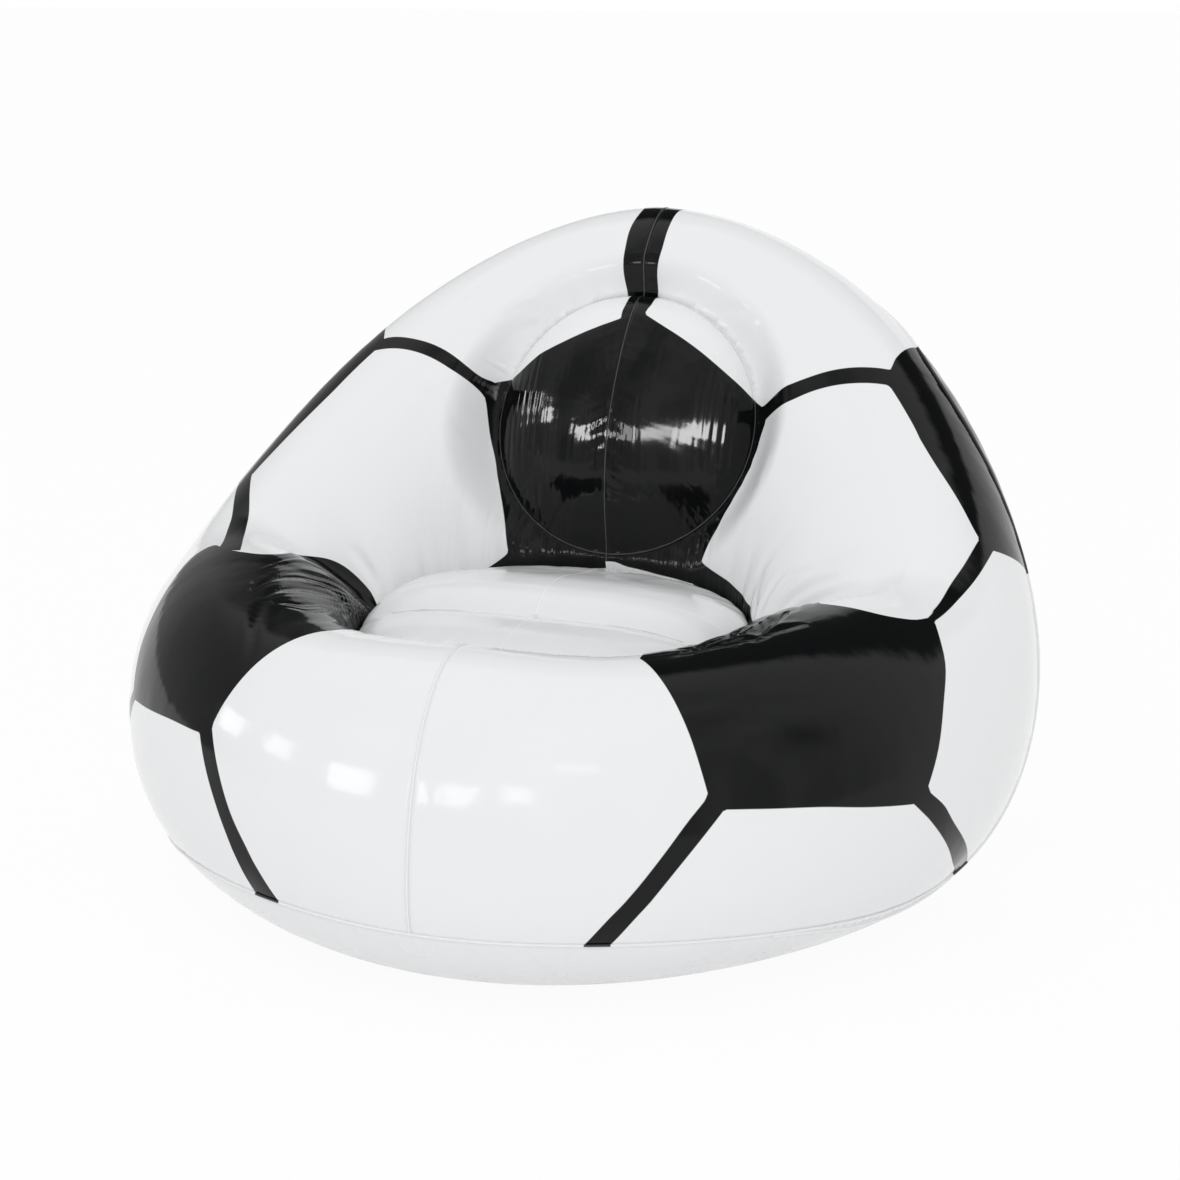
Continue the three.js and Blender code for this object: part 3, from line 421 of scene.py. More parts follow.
def on_headrest(points):
    """Across, up and out from the headrest's middle, in the plane of its round weld."""
    away = points - HEADREST_CENTRE
    return away[..., 0], away @ HEADREST_UP, away @ HEADREST_AXIS


def from_headrest(across, up, out):
    """Points given across, up and out from the headrest's middle."""
    parts = ((across, RIGHT), (up, HEADREST_UP), (out, HEADREST_AXIS))
    return HEADREST_CENTRE + sum(np.asarray(reach)[..., None] * way for reach, way in parts)


def body(angle, share, domed=False):
    """Points of the body's outer film, with the hollow round the headrest, and its dome if asked."""
    angle, share = np.broadcast_arrays(np.asarray(angle, float), np.asarray(share, float))
    radius, height = section(angle, share)
    x = radius * np.sin(np.radians(angle))
    y = SEAT_SETBACK - radius * np.cos(np.radians(angle))
    points = np.stack([x, y, height], -1)
    across, up, out = on_headrest(points)
    reach = np.hypot(across, up)
    hold = 1 - smooth((reach - HEADREST_RADIUS) / HEADREST_HOLLOW)
    hold = hold * smooth((share - HEADREST_FROM_SHARE) / (CREST_SHARE - HEADREST_FROM_SHARE))
    hold = hold * smooth((1 - share) / HEADREST_FOOT_SHARE)
    target = -HEADREST_GROOVE * np.ones_like(reach)
    if domed:
        inside = reach < HEADREST_RADIUS
        target = np.where(inside, dome_height(reach / HEADREST_RADIUS, np.arctan2(across, up)), target)
    return points + ((target - out) * hold)[..., None] * HEADREST_AXIS


def share_at(angle, height):
    """The share at which the outer wall stands at a height."""
    widest = widest_height(angle)
    quarter = math.pi / 2
    low = np.arccos(np.clip(1 - height / widest, -1, 1)) / quarter * WIDEST_SHARE
    lean = np.clip((height - widest) / (crest_height(angle) - widest), -1, 1)
    high = WIDEST_SHARE + (CREST_SHARE - WIDEST_SHARE) * np.arcsin(lean) / quarter
    return np.where(height < widest, low, high)


def perimeter_share(angle):
    return share_at(angle, crest_height(angle) * around(perimeter_height_shares, angle))


def base_share(angle):
    height = crest_height(angle) * around(perimeter_height_shares, angle)
    along = smooth((from_front(angle) - REAR_TIP_ANGLE) / (HALF_TURN / 2 - REAR_TIP_ANGLE))
    low = mix(height - REAR_TIP_WIDTH, REAR_LOW_HEIGHT, along)
    return share_at(angle, np.where(from_front(angle) < REAR_TIP_ANGLE, height, low))


def crease_points(angle):
    radius = seat_radius(angle)
    x = radius * np.sin(np.radians(angle))
    return np.stack([x, SEAT_SETBACK - radius * np.cos(np.radians(angle)), crease_height(angle)], -1)


# The cushion falls away behind its crease, so that the headrest's skirt shows above it
REAR_LOBE_FALL, REAR_FALL_FROM, REAR_FALL_OVER = 0.014, 0.07, 0.12
LOBE_CREASE_BACK = float(crease_points(np.array([float(LOBE_CREASE_ANGLE)]))[0, 1])


def seat_surface(angle, share):
    edge = crease_points(angle)
    x = edge[..., 0] * share
    y = mix(LOBE_CREASE_BACK, edge[..., 1], share)
    step = smooth((y - LOBE_CREASE_BACK) / (2 * LOBE_STEP_SPREAD) + 0.5)
    top = mix(FRONT_LOBE_HEIGHT, REAR_LOBE_HEIGHT, step)
    top = top - REAR_LOBE_FALL * smooth((y - LOBE_CREASE_BACK - REAR_FALL_FROM) / REAR_FALL_OVER)
    notch = np.exp(-(np.abs((y - LOBE_CREASE_BACK) / LOBE_CREASE_SPREAD) ** LOBE_CREASE_POWER))
    swell = np.sqrt(np.clip(1 - share**SEAT_CROWN_POWER, 0, 1))
    return np.stack([x, y, edge[..., 2] + (top - edge[..., 2] - LOBE_CREASE_DEPTH * notch) * swell], -1)


def unit(vectors):
    return vectors / np.maximum(np.linalg.norm(vectors, axis=-1, keepdims=True), 1e-12)


def grid_normals(grid, outward):
    """Normals of a grid of points, rows first, turned to the side that a rough direction gives."""
    normal = unit(np.cross(np.gradient(grid, axis=1), np.gradient(grid, axis=0)))
    turn = np.sign(np.median(np.sum(normal * outward, -1)))
    return normal * (turn if turn else 1)


# Small repeatable noise, from hashed whole numbers
def hashed(cells, seed):
    value = np.sin(cells * 127.1 + seed * 311.7) * 43758.5453
    return value - np.floor(value)


def wobble(place, seed):
    """Smooth noise along a line, from 0 to 1, with one value for each unit of place."""
    cell = np.floor(place)
    t = smooth(place - cell)
    return mix(hashed(cell, seed), hashed(cell + 1, seed), t)


def puckers(place, spacing, seed):
    """A row of uneven narrow valleys along a seam: 0 between them, to 1 at the deepest."""
    p = place / spacing + 0.7 * wobble(place / spacing / 2.3, seed + 5)
    valley = 1 - np.abs(2 * (p - np.floor(p)) - 1)
    strength = 0.25 + 0.75 * hashed(np.floor(p), seed)
    return strength * smooth(valley) ** 1.5


def pucker_rows(run, gap, rows, side, reach=1.0):
    """How far rows of puckers along a seam press the film in: less, the wider the gap to the seam."""
    total = 0.0
    for depth, spacing, fade, seed in rows:
        total = total + depth * puckers(run, spacing, seed + side) * np.exp(-gap / (fade * reach))
    return total


def dents(angles, shares, waves, side):
    """Dents, from -1 to 1, that keep the inflated film from looking turned on a lathe."""
    return sum(wobble(angles / length + lean * shares, seed + side) for length, lean, seed in waves) - 1


def smooth_line(points, steps):
    """A curve through a few points, finely divided."""
    p = np.array(points, float)
    p = np.vstack([2 * p[0] - p[1], p, 2 * p[-1] - p[-2]])
    out = []
    for i in range(1, len(p) - 2):
        for t in np.linspace(0, 1, steps, endpoint=False):
            a = -0.5 * t + t**2 - 0.5 * t**3
            b = 1 - 2.5 * t**2 + 1.5 * t**3
            c = 0.5 * t + 2 * t**2 - 1.5 * t**3
            d = -0.5 * t**2 + 0.5 * t**3
            out.append(a * p[i - 1] + b * p[i] + c * p[i + 1] + d * p[i + 2])
    out.append(p[-2])
    return np.array(out)


def to_line(points, line, reach):
    """Each point's distance to a polyline and its share along it; far points keep a large distance."""
    distance = np.full(len(points), 1e3)
    along = np.zeros(len(points))
    near = np.all((points > line.min(0) - reach) & (points < line.max(0) + reach), axis=1)
    index = np.nonzero(near)[0]
    if not len(index):
        return distance, along
    p = points[index]
    starts, steps = line[:-1], np.diff(line, axis=0)
    lengths = np.maximum(np.sum(steps**2, 1), 1e-12)
    run = np.concatenate([[0], np.cumsum(np.sqrt(lengths))])
    best = np.full(len(p), 1e3)
    where = np.zeros(len(p))
    for k in range(len(steps)):
        t = np.clip((p - starts[k]) @ steps[k] / lengths[k], 0, 1)
        d = np.linalg.norm(p - starts[k] - t[:, None] * steps[k], axis=1)
        nearer = d < best
        best = np.where(nearer, d, best)
        where = np.where(nearer, run[k] + t * (run[k + 1] - run[k]), where)
    distance[index], along[index] = best, where / run[-1]
    return distance, along


def fold_depth(points, line, width, depth):
    """How far a fold presses points in: a valley along the line between two soft shoulders."""
    distance, along = to_line(points, line, 5 * width)
    taper = np.sin(math.pi * np.clip(along, 0, 1)) ** 0.55
    valley = np.exp(-((distance / width) ** 2)) - 0.55 * np.exp(-(((distance - 1.9 * width) / width) ** 2))
    return depth * taper * valley


def inside(points, outline):
    """Whether flat points lie inside a closed outline."""
    x, y = points[:, 0], points[:, 1]
    within = np.zeros(len(points), bool)
    ends = np.roll(outline, -1, axis=0)
    for (x0, y0), (x1, y1) in zip(outline, ends):
        if y0 == y1:
            continue
        crosses = (y0 > y) != (y1 > y)
        within ^= crosses & (x < (x1 - x0) * (y - y0) / (y1 - y0) + x0)
    return within


def outline_of(edges):
    """The points of a closed outline given by its edges."""
    return np.vstack([smooth_line(edge, 7) if len(edge) > 2 else np.array(edge, float) for edge in edges])


# Distances to the print are measured this far. A weld on film without print keeps a fixed one.
PRINT_REACH, UNPRINTED = 0.06, 0.05


def signed_distance(points, line, flat, flat_line):
    """Metres from points to a closed line in space, below zero where their flat places lie inside it."""
    distance, _ = to_line(points, np.vstack([line, line[:1]]), PRINT_REACH)
    return np.where(inside(flat, flat_line), -1, 1) * np.minimum(distance, PRINT_REACH)


def body_print(points, angles, shares, side):
    """Metres from each point of the body to the nearest edge of the print, below zero inside it."""
    flat = np.stack([angles.reshape(-1), shares.reshape(-1)], -1)
    points = points.reshape(-1, 3)
    total = np.full(len(points), 1.0)
    for edges in (printed_right if side > 0 else printed_left).values():
        outline = outline_of(edges)
        line = body(side * outline[:, 0], np.clip(outline[:, 1], 0, 1))
        total = np.minimum(total, signed_distance(points, line, flat, outline))
    return total


def dome_print(across, up, side):
    """The same on the headrest's dome, for places outward from the middle weld and up."""
    outline = outline_of(dome_print_right if side > 0 else dome_print_left) * HEADREST_RADIUS
    flat = np.stack([across.reshape(-1), up.reshape(-1)], -1)
    return signed_distance(flat, outline, flat, outline)


def half_angles(first=0.0):
    """Plan angles of one half from the front round to the back, closest where the film wrinkles most."""
    angles, low = [], 0.0
    for high, step in column_steps:
        count = int(round((high - low) / step))
        angles += list(np.linspace(low, high, count, endpoint=False))
        low = high
    angles = np.array(angles + [float(HALF_TURN)])
    if first:
        angles = np.concatenate([[first], angles[angles > first + 0.2]])
    return angles


def grid_faces(rows, columns, flip):
    index = np.arange(rows * columns).reshape(rows, columns)
    quads = np.stack([index[:-1, :-1], index[:-1, 1:], index[1:, 1:], index[1:, :-1]], -1).reshape(-1, 4)
    return quads[:, ::-1] if flip else quads


def new_mesh(name, points, faces, edges=()):
    mesh = bpy.data.meshes.new(name)
    mesh.from_pydata(np.asarray(points).tolist(), list(edges), [list(map(int, face)) for face in faces])
    return mesh


def set_values(mesh, key, values):
    """Stores a number or a vector for each point of a mesh."""
    vectors = np.ndim(values) == 2
    layer = mesh.attributes.new(key, "FLOAT_VECTOR" if vectors else "FLOAT", "POINT")
    layer.data.foreach_set("vector" if vectors else "value", np.ravel(values).astype(np.float32))


def mended(mesh, merge=0.0, outward=False):
    """Joins a mesh's points that lie together, and turns its faces outward."""
    made = bmesh.new()
    made.from_mesh(mesh)
    if merge:
        bmesh.ops.remove_doubles(made, verts=made.verts, dist=merge)
    if outward:
        bmesh.ops.recalc_face_normals(made, faces=made.faces)
    made.to_mesh(mesh)
    made.free()
    return mesh


def placed(name, mesh, rounded=True):
    """An object of a mesh, in the scene, shaded smooth if it is rounded."""
    if rounded:
        mesh.polygons.foreach_set("use_smooth", [True] * len(mesh.polygons))
        mesh.update()
    piece = bpy.data.objects.new(name, mesh)
    bpy.context.scene.collection.objects.link(piece)
    return piece


def make_film(name, points, faces, values=None, merge=MERGE):
    """A film of points and faces with a value or vector for each point, closed with its wall."""
    mesh = new_mesh(name, points, faces)
    for key, numbers in (values or {}).items():
        set_values(mesh, key, numbers)
    if merge:
        mended(mesh, merge)
    piece = placed(name, mesh)
    wall = piece.modifiers.new("film", "SOLIDIFY")
    wall.thickness = bpy.context.scene.armchair_film.thickness
    wall.offset = -1
    wall.use_rim = True
    return piece


def soften(piece, width, segments, angle=30):
    """Rounds a piece's edges that are sharper than an angle in degrees."""
    rounding = piece.modifiers.new("soft_edges", "BEVEL")
    rounding.width = width
    rounding.segments = segments
    rounding.limit_method = "ANGLE"
    rounding.angle_limit = math.radians(angle)


def evaluated(piece):
    """The piece's mesh as its modifiers make it."""
    graph = bpy.context.evaluated_depsgraph_get()
    return bpy.data.meshes.new_from_object(piece.evaluated_get(graph), depsgraph=graph)


def finished(piece, body_name, slot, material, *nodes, fill=None):
    """Gives a piece its material and its body, and hides the nodes that it stands for; the slot is not used."""
    piece.data.materials.clear()
    piece.data.materials.append(material)
    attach(piece, body_name)
    if nodes:
        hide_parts(*nodes)
    return piece


def linear(code):
    """A linear colour from an sRGB hex value."""
    channels = [int(code.lstrip("#")[i : i + 2], 16) / 255 for i in (0, 2, 4)]
    return tuple(c / 12.92 if c <= 0.04045 else ((c + 0.055) / 1.055) ** 2.4 for c in channels) + (1.0,)


def set_inputs(tree, node, **inputs):
    """Sets a node's inputs, each to a value or to another node's output."""
    for key, value in inputs.items():
        socket = node.inputs[int(key[1:])] if key[0] == "_" else node.inputs[key.replace("_", " ")]
        if isinstance(value, bpy.types.NodeSocket):
            tree.links.new(value, socket)
        else:
            socket.default_value = value
    return node


def add_node(tree, kind, settings=None, **inputs):
    """Adds a node with its settings and its inputs."""
    node = tree.nodes.new(kind)
    for key, value in (settings or {}).items():
        setattr(node, key, value)
    return set_inputs(tree, node, **inputs)


def combined(tree, operation, first, second):
    """A number worked out from two others."""
    return add_node(tree, "ShaderNodeMath", {"operation": operation}, _0=first, _1=second).outputs[0]


def times(tree, first, second):
    return combined(tree, "MULTIPLY", first, second)


def ramp(tree, value, start, end, low=0.0, high=1.0):
    """A number that goes from low to high while the value goes from start to end."""
    limits = {"From_Min": start, "From_Max": end, "To_Min": low, "To_Max": high}
    return add_node(tree, "ShaderNodeMapRange", Value=value, **limits).outputs[0]


def noise(tree, place, scale, detail, roughness=0.5, **settings):
    inputs = {"Vector": place, "Scale": scale, "Detail": detail, "Roughness": roughness}
    return add_node(tree, "ShaderNodeTexNoise", settings, **inputs).outputs[0]


def stretched(tree, place, scale):
    return add_node(tree, "ShaderNodeMapping", Vector=place, Scale=scale).outputs[0]


def bumped(tree, height, strength, distance, invert=False, **normal):
    """Normals tilted by a height, on top of those given."""
    inputs = {"Height": height, "Strength": strength, "Distance": distance, **normal}
    return add_node(tree, "ShaderNodeBump", {"invert": invert}, **inputs).outputs[0]


def blended(tree, share, first, second):
    """A colour between two."""
    return add_node(tree, "ShaderNodeMix", {"data_type": "RGBA"}, Factor=share, A=first, B=second).outputs["Result"]


def darker(colour, share):
    return tuple(min(c * share, 1) for c in colour[:3]) + (1,)


def new_material(name):
    material = bpy.data.materials.new(name)
    material.use_nodes = True
    tree = material.node_tree
    tree.nodes.clear()
    shader = add_node(tree, "ShaderNodeBsdfPrincipled")
    output = add_node(tree, "ShaderNodeOutputMaterial", Surface=shader.outputs[0])
    return material, tree, shader, output


# Gathers stand about 10 mm apart where the film is drawn together, and closer along the seams
gather_periods = {"drawn": 0.0115, "pleats": 0.01, "seam": 0.009}
GATHER_STRETCH = 14
# The ink's edge is sharp to about half a millimetre
INK_EDGE = 0.0004
FILM_IOR = 1.5
# Noise seldom leaves this span
NOISE_SPAN = (0.35, 0.65)


def gathers(tree, name, period):
    """Sharp valleys across an attribute's first axis, as deep as its third axis says in millimetres."""
    held = add_node(tree, "ShaderNodeAttribute", {"attribute_name": name}).outputs["Vector"]
    parts = add_node(tree, "ShaderNodeSeparateXYZ", Vector=held)
    across = combined(tree, "DIVIDE", parts.outputs[0], period)
    along = combined(tree, "DIVIDE", parts.outputs[1], period * GATHER_STRETCH)
    place = add_node(tree, "ShaderNodeCombineXYZ", X=across, Y=along).outputs[0]
    lines = noise(tree, place, 1.0, 1.0, 0.4, noise_dimensions="2D", noise_type="RIDGED_MULTIFRACTAL")
    return times(tree, lines, parts.outputs[2])


def film_bump(tree, strength, gathered=()):
    """Welded film under tension: long shallow drawing lines, gathers at its seams and a fine unevenness."""
    place = add_node(tree, "ShaderNodeTexCoord").outputs["Object"]
    # Tension lines about 40 mm apart and three times as long
    tension = noise(tree, stretched(tree, place, (25.0, 25.0, 9.0)), 1.0, 2.0, 0.45)
    # The calendered sheet's unevenness, about 4 mm across, drawn coarser than the real one so that it shows
    fine = noise(tree, place, 240.0, 1.0, 0.4)
    normal = bumped(tree, tension, strength, 0.004)
    for name in gathered:
        normal = bumped(tree, gathers(tree, name, gather_periods[name]), 1.0, 0.001, invert=True, Normal=normal)
    return bumped(tree, fine, strength * 0.35, 0.0004, Normal=normal), tension


def film_roughness(tree, texture, low, high):
    return ramp(tree, texture, *NOISE_SPAN, low, high)


def ink(tree, bare, printed):
    """The film's colour, bare or printed."""
    edge = add_node(tree, "ShaderNodeAttribute", {"attribute_name": "print_edge"}).outputs["Fac"]
    return blended(tree, ramp(tree, edge, -INK_EDGE, INK_EDGE, 1.0, 0.0), linear(bare), linear(printed))


def printed_film():
    """Soft PVC film, calendered and gravure printed: a mirror-like skin over white or black ink."""
    colours = bpy.context.scene.armchair_colours
    material, tree, shader, _ = new_material("printed_pvc_film")
    bump, texture = film_bump(tree, 0.2, gather_periods)
    set_inputs(
        tree, shader, Base_Color=ink(tree, colours.white_ink, colours.black_ink), Normal=bump,
        Roughness=film_roughness(tree, texture, 0.075, 0.13), IOR=FILM_IOR, Specular_IOR_Level=0.22,
    )
    return material


def plain_film(name, colour, low, high):
    """Soft PVC film without print: glossy, with the haze of white pigment under the surface."""
    material, tree, shader, _ = new_material(name)
    bump, texture = film_bump(tree, 0.22)
    base = linear(colour)
    set_inputs(
        tree, shader, Base_Color=blended(tree, texture, base, darker(base, 0.975)), Normal=bump,
        Roughness=film_roughness(tree, texture, low, high), IOR=FILM_IOR, Specular_IOR_Level=0.35,
    )
    return material


def weld_film():
    """Two films fused by high-frequency welding: a raised, slightly milky and duller line."""
    colours = bpy.context.scene.armchair_colours
    material, tree, shader, _ = new_material("welded_pvc_seam")
    place = add_node(tree, "ShaderNodeTexCoord").outputs["Object"]
    # The electrode leaves a fine knurl, one rib to about 1.5 mm
    knurl = noise(tree, place, 650.0, 1.0)
    set_inputs(
        tree, shader, Base_Color=ink(tree, colours.weld, colours.weld_on_ink), IOR=FILM_IOR,
        Roughness=film_roughness(tree, knurl, 0.28, 0.42), Normal=bumped(tree, knurl, 0.3, 0.0003),
    )
    return material


def moulded_vinyl():
    """Injection-moulded plasticised PVC: soft, white, satin, with a faint flow mottle."""
    material, tree, shader, _ = new_material("moulded_soft_vinyl")
    place = add_node(tree, "ShaderNodeTexCoord").outputs["Object"]
    flow = noise(tree, place, 90.0, 2.0)
    grain = noise(tree, place, 1500.0, 1.0)
    base = linear(bpy.context.scene.armchair_colours.valve)
    set_inputs(
        tree, shader, Base_Color=blended(tree, flow, base, darker(base, 0.94)),
        Roughness=film_roughness(tree, flow, 0.3, 0.4), Normal=bumped(tree, grain, 0.15, 0.0002),
    )
    return material


materials = {}


def material(name):
    """Each material is made once."""
    colours = bpy.context.scene.armchair_colours
    makers = {
        "printed": printed_film,
        "plain": lambda: plain_film("plain_pvc_film", colours.plain_film, 0.13, 0.22),
        "base": lambda: plain_film("base_pvc_film", colours.base_film, 0.2, 0.3),
        "web": lambda: plain_film("inner_web_film", colours.web_film, 0.3, 0.4),
        "weld": weld_film,
        "valve": moulded_vinyl,
    }
    if name not in materials:
        materials[name] = makers[name]()
    return materials[name]


def fan_places(points, side):
    """Where points lie in the arm's fan of gathers: across its lines, along them and how deep."""
    first, middle, last = (smooth_line(run, 8) for run in (fan_first, fan_middle, fan_last))
    across = np.linspace(0, 1, FAN_LINES)[:, None, None]
    lines = np.where(across < 0.5, mix(first, middle, 2 * across), mix(middle, last, 2 * across - 1))
    places = body(side * lines[..., 0], lines[..., 1]).reshape(-1, 3)
    along = np.broadcast_to(np.linspace(0, 1, lines.shape[1]), lines.shape[:2]).reshape(-1)
    across = np.broadcast_to(across[..., 0], lines.shape[:2]).reshape(-1)
    tree = KDTree(len(along))
    for i, place in enumerate(places):
        tree.insert(place, i)
    tree.balance()
    result = np.zeros((len(points), 3))
    near_fan = np.all((points > places.min(0) - FAN_MARGIN) & (points < places.max(0) + FAN_MARGIN), axis=1)
    for k in np.nonzero(near_fan)[0]:
        found = tree.find_n(points[k], FAN_NEIGHBOURS)
        if found[0][2] > FAN_REACH:
            continue
        weight = np.array([1 / (hit[2] + 1e-4) ** 2 for hit in found])
        near = [hit[1] for hit in found]
        t, u = weight @ across[near] / weight.sum(), weight @ along[near] / weight.sum()
        sides = smooth(t / FAN_FIRST_FADE) * smooth((1 - t) / FAN_LAST_FADE)
        ends = smooth(u / FAN_FOOT_FADE) * (1 - smooth((u - FAN_FADE_FROM) / FAN_FADE_OVER))
        result[k] = t * FAN_SPREAD, u * FAN_LENGTH, sides * ends
    return result


def seam_run(line):
    """Metres along a line of points."""
    return np.concatenate([[0], np.cumsum(np.linalg.norm(np.diff(line, axis=0), axis=1))])


def beyond_ring(points):
    """Turn round the headrest from its top, the run along its weld and the gap to it."""
    across, up, _ = on_headrest(points)
    turn = np.arctan2(across, up)
    return turn, np.abs(turn) * HEADREST_RADIUS, np.hypot(across, up) - HEADREST_RADIUS


def climb(points):
    """Metres from the first row of a grid of points, and from its last."""
    steps = np.linalg.norm(np.diff(points, axis=0), axis=2)
    up = np.concatenate([np.zeros((1, points.shape[1])), np.cumsum(steps, axis=0)])
    return up, up[-1][None] - up


def front_wrinkles(points, angles, shares, side):
    """How far the front film is pressed in at each point, and its fine gathers for the material."""
    flat = points.reshape(-1, 3)
    press = np.zeros(len(flat))
    for run, width, depth in right_folds if side > 0 else left_folds:
        curve = smooth_line(run, 8)
        line = body(side * curve[:, 0], curve[:, 1])
        press += fold_depth(flat, line, width / 1000, depth / 1000)
    fan = fan_places(flat, side)
    press += FAN_PRESS * fan[:, 2] * puckers(fan[:, 0], FAN_SPACING, 5 + side)
    press, fan = press.reshape(shares.shape), fan.reshape(*shares.shape, 3)
    out, up = climb(points)
    # Broad puckers along the seat's crease and the perimeter seam, and round the headrest
    crease = seam_run(crease_points(side * angles[0]))[None, :]
    crease = crease + 0.25 * up * (wobble(crease / 0.06, 11) - 0.5)
    decay = 0.022 + 0.03 * wobble(crease / 0.05, 21 + side)
    press += smooth(up / PUCKER_EDGE) * pucker_rows(crease, up, crease_puckers, side, decay)
    rim = seam_run(points[0])[None, :]
    press += smooth(out / PUCKER_EDGE) * pucker_rows(rim, out, perimeter_puckers, side)
    turn, ring, gap = beyond_ring(points)
    gap = np.clip(gap, 0, None)
    near = smooth((shares - 0.56) / 0.05) * smooth(gap / WELD_EDGE)
    press += near * pucker_rows(ring, gap, ring_puckers, side)
    press += FRONT_DENT_DEPTH * dents(angles, shares, front_dents, side) * smooth((shares - 0.2) / 0.1)
    press *= smooth((np.abs(points[..., 0])) / MIDDLE_EDGE) * smooth(up / WELD_EDGE)
    # Fine gathers: across their lines, along them, and their depth in millimetres. They stand round the
    # headrest, most at its two sides and its top, in the fans, below the headrest and along the seams.
    beside = np.exp(-(((np.abs(turn) - 1.3) / 0.2) ** 2))
    above = np.exp(-((turn / 0.16) ** 2))
    depth = 0.5 * np.exp(-gap / 0.02) + 1.2 * beside * np.exp(-gap / 0.045) + 1.5 * above * np.exp(-gap / 0.035)
    depth = near * depth * (angles > column_steps[1][0])
    fan_depth = FAN_DEPTH * (1 if side < 0 else 0.8) * fan[..., 2]
    fan_wise = np.stack([fan[..., 0], fan[..., 1], fan_depth], -1)
    drawn = np.where(fan[..., 2:] > 0, fan_wise, np.stack([ring, gap, depth], -1))
    below = np.exp(-(((np.abs(turn) - math.pi) / 0.85) ** 2)) * near
    pleats = np.stack([points[..., 0], gap, 2.6 * below * np.exp(-gap / 0.12)], -1)
    crease_depth = 1.1 * smooth(up / WELD_EDGE) * np.exp(-up / decay)
    rim_depth = 0.45 * smooth(out / 0.002) * np.exp(-out / 0.013)
    crease_wise = np.stack([crease, up, crease_depth], -1)
    rim_wise = np.stack([rim + 0 * out, out, rim_depth], -1)
    seam = np.where((shares > 0.8)[..., None], crease_wise, rim_wise)
    return press, {"drawn": drawn, "pleats": pleats, "seam": seam}


def dome(side):
    """One half of the headrest's dome, with its dents, its print and its fine gathers."""
    v = np.linspace(0, 1, DOME_ROWS)
    ring, turn = np.meshgrid(v * (1.35 - 0.35 * v), np.linspace(0, math.pi, DOME_COLUMNS), indexing="ij")
    gap, run = (1 - ring) * HEADREST_RADIUS, turn * HEADREST_RADIUS
    x, height = ring * HEADREST_RADIUS * np.sin(turn), ring * HEADREST_RADIUS * np.cos(turn)
    edge = smooth(gap / WELD_EDGE)
    beside = np.exp(-((x / 0.03) ** 2)) * smooth(x / PUCKER_EDGE)
    dent = pucker_rows(run, gap, dome_puckers, side) * edge
    dent += 0.0008 * beside * puckers(height + 0.5 * x, 0.02, 141 + side)
    dent *= smooth(x / PUCKER_EDGE) * smooth(gap / 0.002)
    lift = dome_height(ring, turn) - bpy.context.scene.armchair_film.wrinkle_strength * dent
    low = 1 - smooth((height + 0.03) / 0.12)
    drawn = np.stack([run, gap, (0.35 + 0.9 * low) * edge * np.exp(-gap / 0.014)], -1)
    # Upright gathers stand at the dome's outer side, beside the middle weld and at its foot
    outer = smooth((ring * np.sin(turn) - 0.45) / 0.25) * (1 if side < 0 else 0.4)
    outer = (0.2 + 0.9 * outer) * np.exp(-((height / 0.09) ** 2))
    middle = 1.2 * beside * np.exp(-(((height + 0.02) / 0.05) ** 2))
    foot = 1.2 * low * np.exp(-gap / 0.03)
    pleats = np.stack([x, height, edge * (outer + middle + foot)], -1)
    values = {"drawn": drawn.reshape(-1, 3), "pleats": pleats.reshape(-1, 3)}
    values["print_edge"] = dome_print(x, height, side)
    return from_headrest(side * x, height, lift).reshape(-1, 3), grid_faces(*ring.shape, side > 0), values


def front_film(side):
    """One side's front film up to the round weld, as points, faces and values."""
    angles = half_angles()
    perimeter = perimeter_share(angles)
    t = np.linspace(0, 1, OUTER_ROWS + 1)[:-1]
    outer = mix(perimeter[None], CREST_SHARE, (0.75 * t + 0.25 * t**2)[:, None])
    u = np.linspace(0, 1, INNER_ROWS + 1)
    inner = mix(CREST_SHARE, 1.0, (1.25 * u - 0.25 * u**2)[:, None]) * np.ones(len(angles))
    shares = np.vstack([outer, inner])
    grid_angles = np.broadcast_to(angles, shares.shape)
    points = body(side * grid_angles, shares)
    across, up, out = on_headrest(points)
    reach = np.hypot(across, up)
    faces = grid_faces(*shares.shape, side < 0)
    # The film ends at the round weld: faces inside it go, and the points next to it move onto it
    covered = (reach < HEADREST_RADIUS) & (shares > CUT_FROM_SHARE) & (np.abs(out) < CUT_REACH)
    gone = covered.reshape(-1)[faces].sum(1) >= 2
    kept = faces[~gone]
    rim = np.isin(np.arange(shares.size), kept) & np.isin(np.arange(shares.size), faces[gone])
    rim = rim.reshape(shares.shape)
    scale = HEADREST_RADIUS / np.maximum(reach, 1e-6)
    snapped = from_headrest(across * scale, up * scale, -HEADREST_GROOVE)
    points = np.where(rim[..., None], snapped, points)
    normals = grid_normals(points, points - np.array([0, 0.1, 0.15]))
    press, values = front_wrinkles(points, grid_angles, shares, side)
    press = np.where(rim, 0, press) * bpy.context.scene.armchair_film.wrinkle_strength
    moved = points - normals * press[..., None]
    values = {key: value.reshape(-1, *value.shape[2:]) for key, value in values.items()}
    values["print_edge"] = body_print(points, grid_angles, shares, side)
    return moved.reshape(-1, 3), kept, values


# The valve's axis, and where its flange stands on the rear film
VALVE_OUT = np.array([math.sin(math.radians(VALVE_ANGLE)), -math.cos(math.radians(VALVE_ANGLE)), 0])
VALVE_PLACE = np.array([0.226234, 0.485160, VALVE_HEIGHT])
FILM_UNDER_FLANGE, FLAT_BESIDE_FLANGE, FLANGE_SIDE_FROM = 0.0004, 0.02, -0.05


